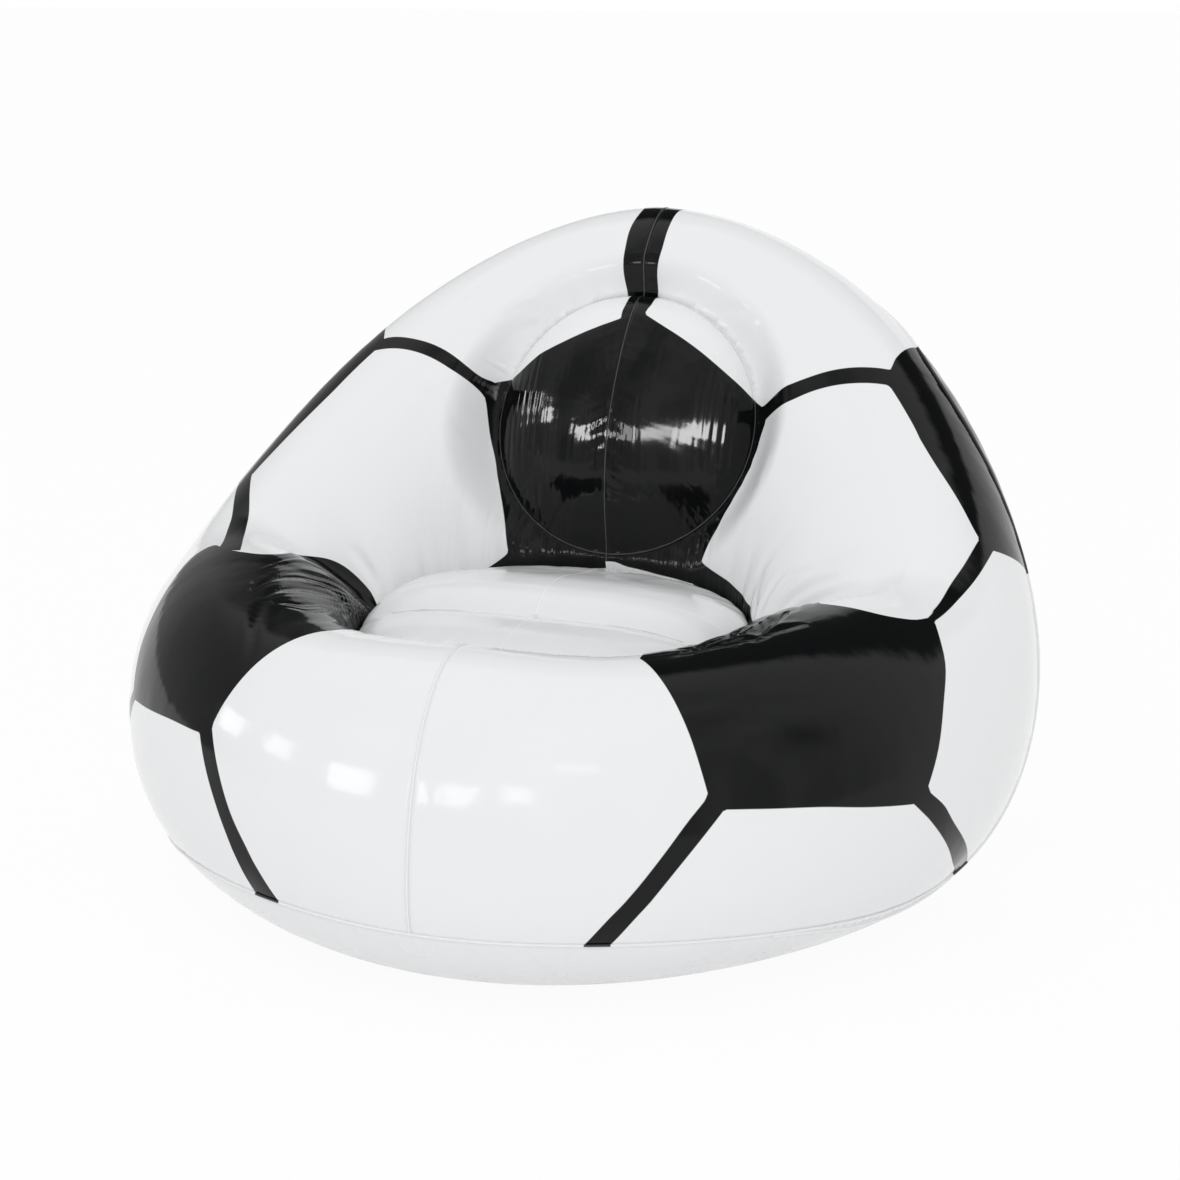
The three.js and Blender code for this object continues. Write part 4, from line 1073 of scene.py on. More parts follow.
def along_valve(points):
    """How far points lie out along the valve's axis, and off it."""
    away = points - VALVE_PLACE
    level = away @ VALVE_OUT
    return level, np.linalg.norm(away - level[..., None] * VALVE_OUT, axis=-1)


def rear_film(side):
    """One side's rear film, as points, faces and values."""
    angles = half_angles(float(REAR_TIP_ANGLE))
    t = np.linspace(0, 1, REAR_ROWS)[:, None]
    shares = mix(base_share(angles)[None], perimeter_share(angles)[None], t)
    grid_angles = np.broadcast_to(angles, shares.shape)
    points = body(side * grid_angles, shares)
    normals = grid_normals(points, points - np.array([0, 0.0, 0.2]))
    down, up = climb(points)
    press = pucker_rows(seam_run(points[0])[None], down, rear_low_puckers, side)
    press += pucker_rows(seam_run(points[-1])[None], up, rear_high_puckers, side)
    inner = smooth(down / REAR_DENT_MARGIN) * smooth(up / REAR_DENT_MARGIN)
    press += REAR_DENT_DEPTH * dents(grid_angles, shares, rear_dents, side) * inner
    press *= smooth(down / WELD_EDGE) * smooth(up / WELD_EDGE) * smooth(np.abs(points[..., 0]) / MIDDLE_EDGE)
    moved = points - normals * (press * bpy.context.scene.armchair_film.wrinkle_strength)[..., None]
    faces = grid_faces(*shares.shape, side < 0)
    if side > 0:
        # The film lies flat under the valve's welded flange and is open inside its socket
        _, off_axis = along_valve(points)
        level, _ = along_valve(moved)
        flat_on = (1 - smooth((off_axis - VALVE_FLANGE_RADIUS) / FLAT_BESIDE_FLANGE)) * (level > FLANGE_SIDE_FROM)
        moved = moved - ((level + FILM_UNDER_FLANGE) * flat_on)[..., None] * VALVE_OUT
        hole = (off_axis < SOCKET_RADIUS).reshape(-1)
        faces = faces[~hole[faces].any(1)]
    return moved.reshape(-1, 3), faces, {"print_edge": body_print(points, grid_angles, shares, side)}


def base_film():
    """The base's film, as points and faces: flat on the floor, then up to the other films."""
    half = half_angles()
    angles = np.concatenate([half, FULL_TURN - half[1:-1][::-1]])
    count = len(angles)
    radius, _ = section(angles, np.zeros(count))
    floor_t = np.linspace(0, 1, FLOOR_ROWS)[1:, None]
    x = floor_t * radius * np.sin(np.radians(angles))
    y = SEAT_SETBACK - floor_t * radius * np.cos(np.radians(angles))
    # The floor part is pressed flat, with shallow creases that stay just above the floor
    lift = 0.0006 * wobble(angles / 9 + 5 * floor_t, 211) * smooth((1 - floor_t) / 0.1)
    floor = np.stack([x, y, lift + 0 * x], -1)
    shares = np.linspace(0, 1, BASE_ROWS + 1)[1:, None] * base_share(angles)[None]
    rise = body(np.broadcast_to(angles, shares.shape), shares)
    normals = grid_normals(rise, rise - np.array([0, 0, 0.3]))
    up, near = (part[1:] for part in climb(np.vstack([floor[-1:], rise])))
    press = pucker_rows(seam_run(rise[-1])[None], near, base_puckers, 0)
    press *= smooth(near / WELD_EDGE) * smooth(up / 0.02)
    grid = np.vstack([floor, rise - normals * press[..., None]])
    index = np.arange(len(grid) * count).reshape(len(grid), count)
    after = np.roll(index, -1, axis=1)
    faces = np.stack([index[:-1], after[:-1], after[1:], index[1:]], -1).reshape(-1, 4)
    points = np.vstack([grid.reshape(-1, 3), [[0, SEAT_SETBACK, 0]]])
    return points, faces.tolist() + [(after[0, i], index[0, i], index.size) for i in range(count)]


def seat_film(side):
    """One side's film of the cushion, with its front and rear lobe, as points and faces."""
    angles = half_angles()
    t = np.linspace(0, 1, SEAT_ROWS)
    shares = (t * (1.45 - 0.45 * t))[:, None] * np.ones(len(angles))
    points = seat_surface(np.broadcast_to(angles, shares.shape), shares)
    normals = grid_normals(points, UP)
    normals[0] = UP
    normals = unit(np.where((normals @ UP)[..., None] < 0, -normals, normals))
    gap = np.linalg.norm(points - points[-1][None], axis=-1)
    run = seam_run(points[-1])[None]
    decay = 0.016 + 0.02 * wobble(run / 0.05, 241 + side)
    press = pucker_rows(run, gap, cushion_puckers, side, decay)
    off = np.abs(points[..., 1] - LOBE_CREASE_BACK)
    press += pucker_rows(points[..., 0], off, lobe_puckers, side) * smooth(off / WELD_EDGE)
    press *= smooth(gap / WELD_EDGE) * smooth(np.abs(points[..., 0]) / 0.01)
    points = points - normals * (bpy.context.scene.armchair_film.wrinkle_strength * press)[..., None]
    points[..., 0] *= side
    return points.reshape(-1, 3), grid_faces(*shares.shape, side < 0)


def used_only(points, faces, values):
    """Drops points that no face uses."""
    used = np.unique(faces)
    place = np.full(len(points), -1)
    place[used] = np.arange(len(used))
    return points[used], place[faces], {key: value[used] for key, value in values.items()}


def weld_tree(material_used):
    """A raised weld along a path: its width and height are inputs, and it stands on the path's normals."""
    tree = bpy.data.node_groups.new("weld_bead", "GeometryNodeTree")
    tree.interface.new_socket("Path", in_out="INPUT", socket_type="NodeSocketGeometry")
    for name, value in (("Width", 0.0045), ("Height", 0.002)):
        socket = tree.interface.new_socket(name, in_out="INPUT", socket_type="NodeSocketFloat")
        socket.subtype = "DISTANCE"
        socket.default_value = value
    tree.interface.new_socket("Weld", in_out="OUTPUT", socket_type="NodeSocketGeometry")
    start = add_node(tree, "NodeGroupInput")
    path = add_node(tree, "GeometryNodeMeshToCurve", Mesh=start.outputs["Path"])
    outward = add_node(tree, "GeometryNodeInputNamedAttribute", {"data_type": "FLOAT_VECTOR"}, Name="outward")
    turned = add_node(
        tree, "GeometryNodeSetCurveNormal", {"mode": "FREE"}, Curve=path.outputs[0], Normal=outward.outputs[0]
    )
    ring = add_node(tree, "GeometryNodeCurvePrimitiveCircle", Resolution=10, Radius=0.5)
    size = add_node(tree, "ShaderNodeCombineXYZ", X=start.outputs["Height"], Y=start.outputs["Width"], Z=1.0)
    profile = add_node(tree, "GeometryNodeTransform", Geometry=ring.outputs[0], Scale=size.outputs[0])
    bead = add_node(
        tree, "GeometryNodeCurveToMesh", Curve=turned.outputs[0], Profile_Curve=profile.outputs[0], Fill_Caps=True
    )
    real = add_node(tree, "GeometryNodeRealizeInstances", Geometry=bead.outputs[0])
    dressed = add_node(tree, "GeometryNodeSetMaterial", Geometry=real.outputs[0], Material=material_used)
    add_node(tree, "NodeGroupOutput", _0=dressed.outputs[0])
    return tree


def weld(name, runs, width, height, slot="printed_film"):
    """One weld piece along runs of (points, outward directions, print distance, closed)."""
    edges, first = [], 0
    for line, _, _, closed in runs:
        count = len(line)
        edges += [(first + i, first + (i + 1) % count) for i in range(count if closed else count - 1)]
        first += count
    mesh = new_mesh(name + "_path", np.concatenate([run[0] for run in runs]), [], edges)
    set_values(mesh, "outward", np.concatenate([run[1] for run in runs]))
    set_values(mesh, "print_edge", np.concatenate([run[2] for run in runs]))
    path = placed(name, mesh, rounded=False)
    tree = weld_tree(material("weld"))
    modifier = path.modifiers.new("weld", "NODES")
    modifier.node_group = tree
    keys = {item.name: item.identifier for item in tree.interface.items_tree if item.in_out == "INPUT"}
    modifier[keys["Width"]] = width
    modifier[keys["Height"]] = height
    result = mended(evaluated(path), MERGE, outward=True)
    bpy.data.objects.remove(path)
    bpy.data.meshes.remove(mesh)
    return finished(placed(name, result), CHAIR, slot, material("weld"))


def body_normals(angle, share, domed=False):
    """Outward directions of the body's film."""
    step = 0.02
    low, high = np.clip(share - 1e-4, 0, 1), np.clip(share + 1e-4, 0, 1)
    along = body(angle, high, domed) - body(angle, low, domed)
    round_ = body(angle + step, share, domed) - body(angle - step, share, domed)
    return unit(np.cross(round_, along))


def ink_along(angle, share):
    """The print's distance along a run of the body's film."""
    points = body(angle, share)
    result = np.full(len(points), 1.0)
    for side in (1, -1):
        mine = (angle * side >= 0) if side > 0 else (angle * side > 0)
        if not mine.any():
            continue
        result[mine] = body_print(points[mine], np.abs(angle[mine]), share[mine], side)
    return result


def film_run(angles, shares, closed=False, domed=False):
    """A run of weld along the body's film."""
    points = body(angles, shares, domed)
    return points, body_normals(angles, shares, domed), ink_along(angles, shares), closed


def bare_run(line, outward, closed=False):
    """A run of weld on film without print."""
    return line, outward, np.full(len(line), UNPRINTED), closed


class ArmchairColours(bpy.types.PropertyGroup):
    """Colours of the films and the valve, as sRGB hex values."""

    white_ink: bpy.props.StringProperty(
        name="White", description="White of the printed film, sRGB hex", default="#F2F3F4"
    )
    black_ink: bpy.props.StringProperty(
        name="Black", description="Black of the print, sRGB hex", default="#0D0E0F"
    )
    plain_film: bpy.props.StringProperty(
        name="Seat film", description="Film of the seat cushion, sRGB hex", default="#F0F1F2"
    )
    base_film: bpy.props.StringProperty(
        name="Base film", description="Film of the base, sRGB hex", default="#F1F2F3"
    )
    web_film: bpy.props.StringProperty(
        name="Web film", description="Film of the webs inside, sRGB hex", default="#DFE3E6"
    )
    weld: bpy.props.StringProperty(
        name="Weld", description="Welded seams on white film, sRGB hex", default="#F6F7F8"
    )
    weld_on_ink: bpy.props.StringProperty(
        name="Weld on print", description="Welded seams on black print, sRGB hex", default="#3A3B3E"
    )
    valve: bpy.props.StringProperty(name="Valve", description="Moulded valve, sRGB hex", default="#F2F2F0")
    floor: bpy.props.StringProperty(name="Floor", description="Studio floor, sRGB hex", default="#F7F7F7")


class ArmchairFilm(bpy.types.PropertyGroup):
    """Sizes of the films, their wrinkles and their welds."""

    thickness: bpy.props.FloatProperty(
        name="Film thickness", description="Wall of each film as drawn",
        default=0.0005, min=0.0001, subtype="DISTANCE", unit="LENGTH",
    )
    wrinkle_strength: bpy.props.FloatProperty(
        name="Wrinkles", description="Depth of folds and puckers, 1 as photographed",
        default=1.0, min=0.0, max=2.0, subtype="FACTOR",
    )
    weld_width: bpy.props.FloatProperty(
        name="Weld width", description="Width of the welded seams",
        default=0.0036, min=0.001, subtype="DISTANCE", unit="LENGTH",
    )
    weld_height: bpy.props.FloatProperty(
        name="Weld height", description="Thickness of the welded seams",
        default=0.0018, min=0.0005, subtype="DISTANCE", unit="LENGTH",
    )


class ArmchairStudio(bpy.types.PropertyGroup):
    """Camera and light of the stage."""

    azimuth: bpy.props.FloatProperty(
        name="Camera azimuth", description="Degrees round from the front to the right", default=19.0
    )
    elevation: bpy.props.FloatProperty(name="Camera elevation", description="Degrees above level", default=16.0)
    distance: bpy.props.FloatProperty(
        name="Camera distance", description="From the point looked at",
        default=2.65, subtype="DISTANCE", unit="LENGTH",
    )
    air: bpy.props.FloatProperty(
        name="Room light", description="Strength of the even light from all round", default=0.79, min=0.0
    )
    key_power: bpy.props.FloatProperty(
        name="Key light", description="Power of the overhead softbox", default=11.0, min=0.0, unit="POWER"
    )
    window_power: bpy.props.FloatProperty(
        name="Window lights", description="Power of a square metre of window", default=26.0, min=0.0, unit="POWER"
    )


sides = (("right", 1), ("left", -1))


class ARMCHAIR_OT_front_films(bpy.types.Operator):
    """Make the front films and, inside the round weld, the headrest's domed ones"""

    bl_idname = "armchair.front_films"
    bl_label = "Front films"

    def execute(self, context):
        for name, side in sides:
            for kind, made in (("front", front_film(side)), ("headrest", dome(side))):
                piece = make_film(f"{kind}_film_{name}", *used_only(*made))
                finished(piece, CHAIR, "printed_film", material("printed"), f"front_skin_{name}", fill=0.95)
        return {"FINISHED"}


class ARMCHAIR_OT_rear_films(bpy.types.Operator):
    """Make the two rear films"""

    bl_idname = "armchair.rear_films"
    bl_label = "Rear films"

    def execute(self, context):
        for name, side in sides:
            piece = make_film(f"rear_film_{name}", *used_only(*rear_film(side)))
            finished(piece, CHAIR, "printed_film", material("printed"), f"rear_skin_{name}", fill=0.95)
        return {"FINISHED"}


class ARMCHAIR_OT_base_film(bpy.types.Operator):
    """Make the base film, which lies on the floor and climbs to the front panels"""

    bl_idname = "armchair.base_film"
    bl_label = "Base film"

    def execute(self, context):
        piece = make_film("base_film", *base_film(), merge=0.0)
        finished(piece, CHAIR, "plain_film", material("base"), "base_panel", fill=0.9)
        return {"FINISHED"}


class ARMCHAIR_OT_seat_films(bpy.types.Operator):
    """Make the seat cushion's two films, each with its front and rear lobe"""

    bl_idname = "armchair.seat_films"
    bl_label = "Seat films"

    def execute(self, context):
        for name, side in sides:
            piece = make_film(f"seat_film_{name}", *seat_film(side))
            finished(piece, CHAIR, "plain_film", material("plain"), f"seat_cover_{name}", fill=0.9)
        return {"FINISHED"}


class ARMCHAIR_OT_welds(bpy.types.Operator):
    """Make the welded seams between the films"""

    bl_idname = "armchair.welds"
    bl_label = "Welded seams"

    def execute(self, context):
        film = context.scene.armchair_film
        width, height = film.weld_width, film.weld_height
        # Round the front panels, and under the rear ones
        half = half_angles()
        all_round = np.concatenate([half, -half[1:-1][::-1]])
        weld("weld_perimeter", [film_run(all_round, perimeter_share(all_round), closed=True)], height * 1.5, width)
        rear = half_angles(float(REAR_TIP_ANGLE))
        rear = np.concatenate([rear, -rear[:-1][::-1]])
        weld("weld_base", [film_run(rear, base_share(rear))], height * 1.5, width)
        # Up the middle of the front, down the middle of the back, and along the middle of the seat
        front, back = np.array([0.0]), np.array([float(HALF_TURN)])
        low, high = perimeter_share(front)[0], perimeter_share(back)[0]
        runs = []
        for angle, shares, domed in (
            (front, np.linspace(low, 1, 220), True),
            (back, np.linspace(high, 1, 220), True),
            (back, np.linspace(base_share(back)[0], high, 120), False),
        ):
            runs.append(film_run(np.full(len(shares), angle[0]), shares, domed=domed))
        edge = np.linspace(-1, 1, 160)
        line = seat_surface(np.where(edge < 0, 0.0, float(HALF_TURN)), np.abs(edge))
        outward = np.cross(RIGHT, unit(np.gradient(line, axis=0)))
        outward = unit(np.where((outward[:, 2] < 0)[:, None], -outward, outward))
        weld("weld_centre", runs + [bare_run(line, outward)], width * 0.6, height * 0.7)
        # Round the headrest
        turns = np.linspace(0, 2 * math.pi, 260, endpoint=False)
        across, up = HEADREST_RADIUS * np.sin(turns), HEADREST_RADIUS * np.cos(turns)
        line = from_headrest(across, up, -HEADREST_GROOVE)
        printed = [dome_print(np.abs(across), up, side) for _, side in sides]
        printed = np.where(turns < math.pi, *printed)
        outward = np.broadcast_to(HEADREST_AXIS, line.shape)
        weld("weld_headrest", [(line, outward, printed, True)], width * 0.7, height * 0.9)
        # Round the seat
        line = crease_points(all_round)
        run = bare_run(line, np.broadcast_to(UP, line.shape), closed=True)
        weld("weld_seat", [run], width, height, slot="plain_film")
        return {"FINISHED"}


class ARMCHAIR_OT_inner_webs(bpy.types.Operator):
    """Make the webs inside, which hold the creases and the headrest"""

    bl_idname = "armchair.inner_webs"
    bl_label = "Inner webs"

    def execute(self, context):
        for node in ("seat_well_web", "seat_baffle_web", "headrest_web"):
            mesh = mended(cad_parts[node].data.copy(), MERGE)
            piece = placed(node + "_film", mesh, rounded=False)
            finished(piece, CHAIR, "web_film", material("web"), node)
        return {"FINISHED"}


def valve_points(points):
    """Points given along the valve's own axes, in the chair's place."""
    points = np.asarray(points, float)
    across = np.array([-VALVE_OUT[1], VALVE_OUT[0], 0])
    return VALVE_PLACE + points[:, :1] * across + points[:, 1:2] * UP + points[:, 2:3] * VALVE_OUT


def valve_mesh(name, points, faces):
    return mended(new_mesh(name, valve_points(points), faces), outward=True)


def turned_piece(name, profile, bevel):
    """A solid turned from a closed profile of (radius, height), with its edges softened."""
    turns = np.arange(ROUND_STEPS) * 2 * math.pi / ROUND_STEPS
    points, faces, columns = [], [], []
    for radius, height in profile:
        steps = ROUND_STEPS if radius else 1
        columns.append([len(points) + i % steps for i in range(ROUND_STEPS)])
        points += [(radius * math.cos(a), radius * math.sin(a), height) for a in turns[:steps]]
    closed = profile[0][0] != 0 or profile[-1][0] != 0
    pairs = list(zip(columns, columns[1:])) + ([(columns[-1], columns[0])] if closed else [])
    for a, b in pairs:
        for i in range(ROUND_STEPS):
            j = (i + 1) % ROUND_STEPS
            corners = list(dict.fromkeys([a[i], a[j], b[j], b[i]]))
            if len(corners) > 2:
                faces.append(corners)
    piece = placed(name, valve_mesh(name, points, faces))
    soften(piece, bevel, 3, angle=35)
    return piece


# Heights along the valve's axis, from the flange's underside
STOPPER_FOOT, STOPPER_SEAT = -STOPPER_DEPTH, SOCKET_LIP + VALVE_FIT
STOPPER_TOP = STOPPER_SEAT + STOPPER_RIM
NOZZLE_TOP = STOPPER_TOP + NOZZLE_LIP
CAP_SEAT = NOZZLE_TOP + VALVE_FIT
FLAP_TOP = STOPPER_FOOT - VALVE_FIT
# Rings moulded on the flange, where it is welded, and ribs that seal the stopper: steps and heights
FLANGE_RINGS, FLANGE_RING_FROM, FLANGE_RING_STEP, FLANGE_RING_HEIGHT = 4, 0.003, 0.0032, 0.0004
STOPPER_RIBS, RIB_STEP, RIB_HALF_WIDTH, RIB_HEIGHT = 3, 0.0042, 0.0008, 0.0005
CAP_DISH_EDGE, CAP_DISH_SLOPE, CAP_DISH_DEPTH = 0.003, 0.0006, 0.0005
TAB_ROOT, TAB_GAP, TAB_END_TURN = 0.002, 0.00005, 0.3
STRAP_STEPS = 33
# Softened edges of the moulded pieces, of their larger rims and of the flap
EDGE, RIM_EDGE, FLAP_EDGE = 0.0003, 0.0004, 0.0002


def socket_profile():
    wall, flange, top = SOCKET_RADIUS + SOCKET_WALL, VALVE_FLANGE_RADIUS, VALVE_FLANGE
    rings = []
    for k in range(FLANGE_RINGS):
        height = top + (FLANGE_RING_HEIGHT if k % 2 else 0)
        rings.append((flange - FLANGE_RING_FROM - FLANGE_RING_STEP * k, height))
    return [
        (SOCKET_RADIUS, -SOCKET_DEPTH), (wall, -SOCKET_DEPTH), (wall, 0), (flange, 0), (flange, top / 2),
        (flange - top, top), *rings, (wall + top, top), (wall, SOCKET_LIP), (SOCKET_RADIUS, SOCKET_LIP),
    ]


def stopper_profile():
    stem, nozzle = SOCKET_RADIUS - VALVE_FIT, NOZZLE_RADIUS + NOZZLE_WALL
    shank = stem - RIB_HEIGHT
    ribs = []
    for k in range(STOPPER_RIBS):
        height = STOPPER_FOOT + STOPPER_RIM + (k + 1) * RIB_STEP
        ribs += [(shank, height - RIB_HALF_WIDTH), (stem, height), (shank, height + RIB_HALF_WIDTH)]
    return [
        (NOZZLE_RADIUS, STOPPER_FOOT), (stem - STOPPER_RIM, STOPPER_FOOT), (shank, STOPPER_FOOT + STOPPER_RIM),
        *ribs, (shank, STOPPER_SEAT), (STOPPER_RIM_RADIUS, STOPPER_SEAT), (STOPPER_RIM_RADIUS, STOPPER_TOP),
        (nozzle, STOPPER_TOP), (nozzle - NOZZLE_WALL / 4, NOZZLE_TOP), (NOZZLE_RADIUS, NOZZLE_TOP),
    ]


def cap_profile():
    stem, foot, top = NOZZLE_RADIUS - VALVE_FIT, CAP_SEAT - CAP_STEM, CAP_SEAT + CAP_HEAD
    dish = CAP_RADIUS - CAP_DISH_EDGE
    return [
        (0, foot), (stem - CAP_HEAD / 2, foot), (stem, foot + CAP_HEAD), (stem, CAP_SEAT), (CAP_RADIUS, CAP_SEAT),
        (CAP_RADIUS, CAP_SEAT + CAP_HEAD / 2), (CAP_RADIUS - CAP_HEAD / 2, top), (dish, top),
        (dish - CAP_DISH_SLOPE, top - CAP_DISH_DEPTH), (0, top - CAP_DISH_DEPTH),
    ]


def flap_profile():
    low = FLAP_TOP - FLAP_THICKNESS
    return [(0, low), (FLAP_RADIUS, low), (FLAP_RADIUS, FLAP_TOP), (0, FLAP_TOP)]


def pull_tab():
    """The cap's tab: a flat tongue with a round end."""
    w, reach = CAP_TAB_WIDTH / 2, CAP_RADIUS + CAP_TAB_LENGTH
    root = CAP_RADIUS - TAB_ROOT
    outline = [(-w, root), (w, root), (w, reach - w)]
    turns = np.linspace(TAB_END_TURN, math.pi - TAB_END_TURN, 9)
    outline += [(w * math.cos(a), reach - w + w * math.sin(a)) for a in turns]
    outline += [(-w, reach - w)]
    count = len(outline)
    points = [(x, y, z) for z in (CAP_SEAT + TAB_GAP, CAP_SEAT + CAP_HEAD / 2) for x, y in outline]
    faces = [range(count), range(count, 2 * count)]
    faces += [(i, (i + 1) % count, count + (i + 1) % count, count + i) for i in range(count)]
    piece = placed("cap_pull_tab", valve_mesh("cap_pull_tab", points, faces), rounded=False)
    soften(piece, EDGE, 2)
    return piece


def strap(name, start, end, bulge):
    """A flat tether bent in one plane, with its edges softened."""
    p = np.array([start, *bulge, end], float)
    t = np.linspace(0, 1, STRAP_STEPS)[:, None]
    line = (1 - t) ** 3 * p[0] + 3 * (1 - t) ** 2 * t * p[1] + 3 * (1 - t) * t**2 * p[2] + t**3 * p[3]
    side = np.array([0, 1.0, 0])
    over = np.cross(unit(np.gradient(line, axis=0)), side)
    w, h = TETHER_WIDTH / 2, TETHER_THICKNESS / 2
    points = np.stack([line + a * side + b * over for a, b in [(-w, -h), (w, -h), (w, h), (-w, h)]], 1)
    last = 4 * (len(line) - 1)
    faces = [(i + k, i + (k + 1) % 4, i + 4 + (k + 1) % 4, i + 4 + k) for i in range(0, last, 4) for k in range(4)]
    faces += [(0, 1, 2, 3), (last, last + 1, last + 2, last + 3)]
    piece = placed(name, valve_mesh(name, points.reshape(-1, 3), faces), rounded=False)
    soften(piece, EDGE, 2)
    # The mesh is made final, with its softened edges
    final = evaluated(piece)
    piece.modifiers.clear()
    piece.data = final
    return piece


def bent(piece, start, end, node):
    """Dresses a tether, moves its placement into its mesh and hides the node that it stands for."""
    piece.data.materials.clear()
    piece.data.materials.append(material("valve"))
    start, end = valve_points([(start[0], 0, 0), (end[0], 0, 0)])
    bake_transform(piece)
    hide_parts(node)


class ARMCHAIR_OT_valve(bpy.types.Operator):
    """Make the inflation valve: base, stopper, cap, check flap and two tethers"""

    bl_idname = "armchair.valve"
    bl_label = "Valve"

    def execute(self, context):
        vinyl = material("valve")
        base = turned_piece("valve_socket", socket_profile(), EDGE)
        finished(base, CHAIR, "valve_vinyl", vinyl, "valve_base")
        stopper = turned_piece("valve_plug", stopper_profile(), RIM_EDGE)
        finished(stopper, "stopper", "valve_vinyl", vinyl, "valve_stopper")
        cap = turned_piece("valve_cap_plug", cap_profile(), RIM_EDGE)
        finished(cap, "cap", "valve_vinyl", vinyl, "valve_cap")
        finished(pull_tab(), "cap", "valve_vinyl", vinyl)
        flap = turned_piece("check_flap_disc", flap_profile(), FLAP_EDGE)
        finished(flap, "flap", "web_film", material("web"), "check_flap")
        start = (CAP_RADIUS + VALVE_FIT, 0, CAP_SEAT + CAP_HEAD / 2)
        end = (STOPPER_RIM_RADIUS + VALVE_FIT, 0, STOPPER_SEAT + STOPPER_RIM / 2)
        out = STOPPER_RIM_RADIUS + 2 * TETHER_REACH
        cap_strap = strap("cap_tether_strap", start, end, [(out, 0, start[2] + TETHER_THICKNESS), (out, 0, end[2])])
        bent(cap_strap, end, start, "cap_tether")
        start = (-STOPPER_RIM_RADIUS - VALVE_FIT, 0, STOPPER_SEAT + STOPPER_RIM / 2)
        end = (-VALVE_FLANGE_RADIUS - VALVE_FIT, 0, VALVE_FLANGE / 2)
        out = -VALVE_FLANGE_RADIUS - TETHER_REACH
        bulge = [(out, 0, start[2] + TETHER_REACH), (out - TETHER_REACH, 0, end[2])]
        stopper_strap = strap("stopper_tether_strap", start, end, bulge)
        bent(stopper_strap, end, start, "stopper_tether")
        return {"FINISHED"}


def toward(azimuth, elevation):
    a, e = math.radians(azimuth), math.radians(elevation)
    return np.array([math.sin(a) * math.cos(e), -math.cos(a) * math.cos(e), math.sin(e)])


def aimed(piece, place, target):
    """Puts a lamp or camera at a place, looking at a target."""
    way = Vector(target) - Vector(place)
    piece.location = Vector(place)
    piece.rotation_euler = way.to_track_quat("-Z", "Y").to_euler()
    bpy.context.scene.collection.objects.link(piece)
    return piece


def softbox(name, azimuth, elevation, distance, size, power, target, lit=()):
    """A rectangular lamp. One that lights only some pieces is a window: a reflection in their gloss."""
    lamp = bpy.data.lights.new(name, "AREA")
    lamp.shape = "RECTANGLE"
    lamp.size, lamp.size_y = size
    lamp.energy = power
    place = np.array(target) + distance * toward(azimuth, elevation)
    piece = aimed(bpy.data.objects.new(name, lamp), tuple(place), target)
    piece.visible_diffuse = not lit
    piece.visible_glossy = bool(lit)
    if lit:
        group = bpy.data.collections.new(name + "_receivers")
        for other in lit:
            group.objects.link(bpy.data.objects[other])
        piece.light_linking.receiver_collection = group
    return piece


def seen_rays(tree):
    """One for the rays that look at the background: straight, by reflection or through something."""
    path = add_node(tree, "ShaderNodeLightPath")
    first = combined(tree, "MAXIMUM", path.outputs["Is Camera Ray"], path.outputs["Is Transmission Ray"])
    return combined(tree, "MAXIMUM", first, path.outputs["Is Glossy Ray"])


def room_in_reflections(tree):
    """The background's strength: white, and in reflections the room that the chair stands in."""
    way = add_node(tree, "ShaderNodeTexCoord").outputs["Generated"]

    def along(direction, add=0.0):
        share = add_node(tree, "ShaderNodeVectorMath", {"operation": "DOT_PRODUCT"}, _0=way, _1=direction)
        return combined(tree, "ADD", share.outputs["Value"], add)

    # Behind the chair the white backdrop ends about 30 degrees up, and lower to the left
    height = combined(tree, "MAXIMUM", along((0, 0, 1)), along((-1.1, 0, 1), -0.17))
    behind = times(tree, ramp(tree, along((0, 1, 0.25)), 0.6, 0.68), ramp(tree, height, 0.48, 0.53))
    # Before it the room's walls have lighter and darker upright parts
    walls = noise(tree, stretched(tree, way, (4.5, 4.5, 0.7)), 1.0, 1.0, 0.4)
    before = ramp(tree, along((0, 1, 0)), 0.1, -0.2, 0.0, 0.6)
    dark = combined(tree, "MAXIMUM", times(tree, behind, 0.94), times(tree, ramp(tree, walls, 0.68, 0.34), before))
    # Its left side lies in half light from the floor up
    left = ramp(tree, along((-0.94, 0.34, 0)), 0.62, 0.85)
    dim = add_node(tree, "ShaderNodeMix", Factor=left, A=dark, B=0.6).outputs["Result"]
    glossy = add_node(tree, "ShaderNodeLightPath").outputs["Is Glossy Ray"]
    return ramp(tree, times(tree, dim, glossy), 0.0, 1.0, 1.0, 0.0)


# The stage looks at the chair's middle. The camera has 2150 pixels of focal length over 1180 of width.
MIDDLE = (0.0, 0.03, 0.31)
SENSOR_WIDTH, FOCAL_PIXELS, PICTURE_PIXELS = 36, 2150, 1180
FLOOR_HALF, FLOOR_DEPTH, FLOOR_WHITE_SHARE = 60, 0.0005, 0.94
OVERHEAD_PLACE, OVERHEAD_SIZE = (-25, 70, 3.2), (2.6, 2.2)
FRONT_PLACE, FRONT_SIZE, FRONT_SHARE = (18, 12, 4.2), (3.0, 2.0), 1.6
WINDOW_DISTANCE = 4.5
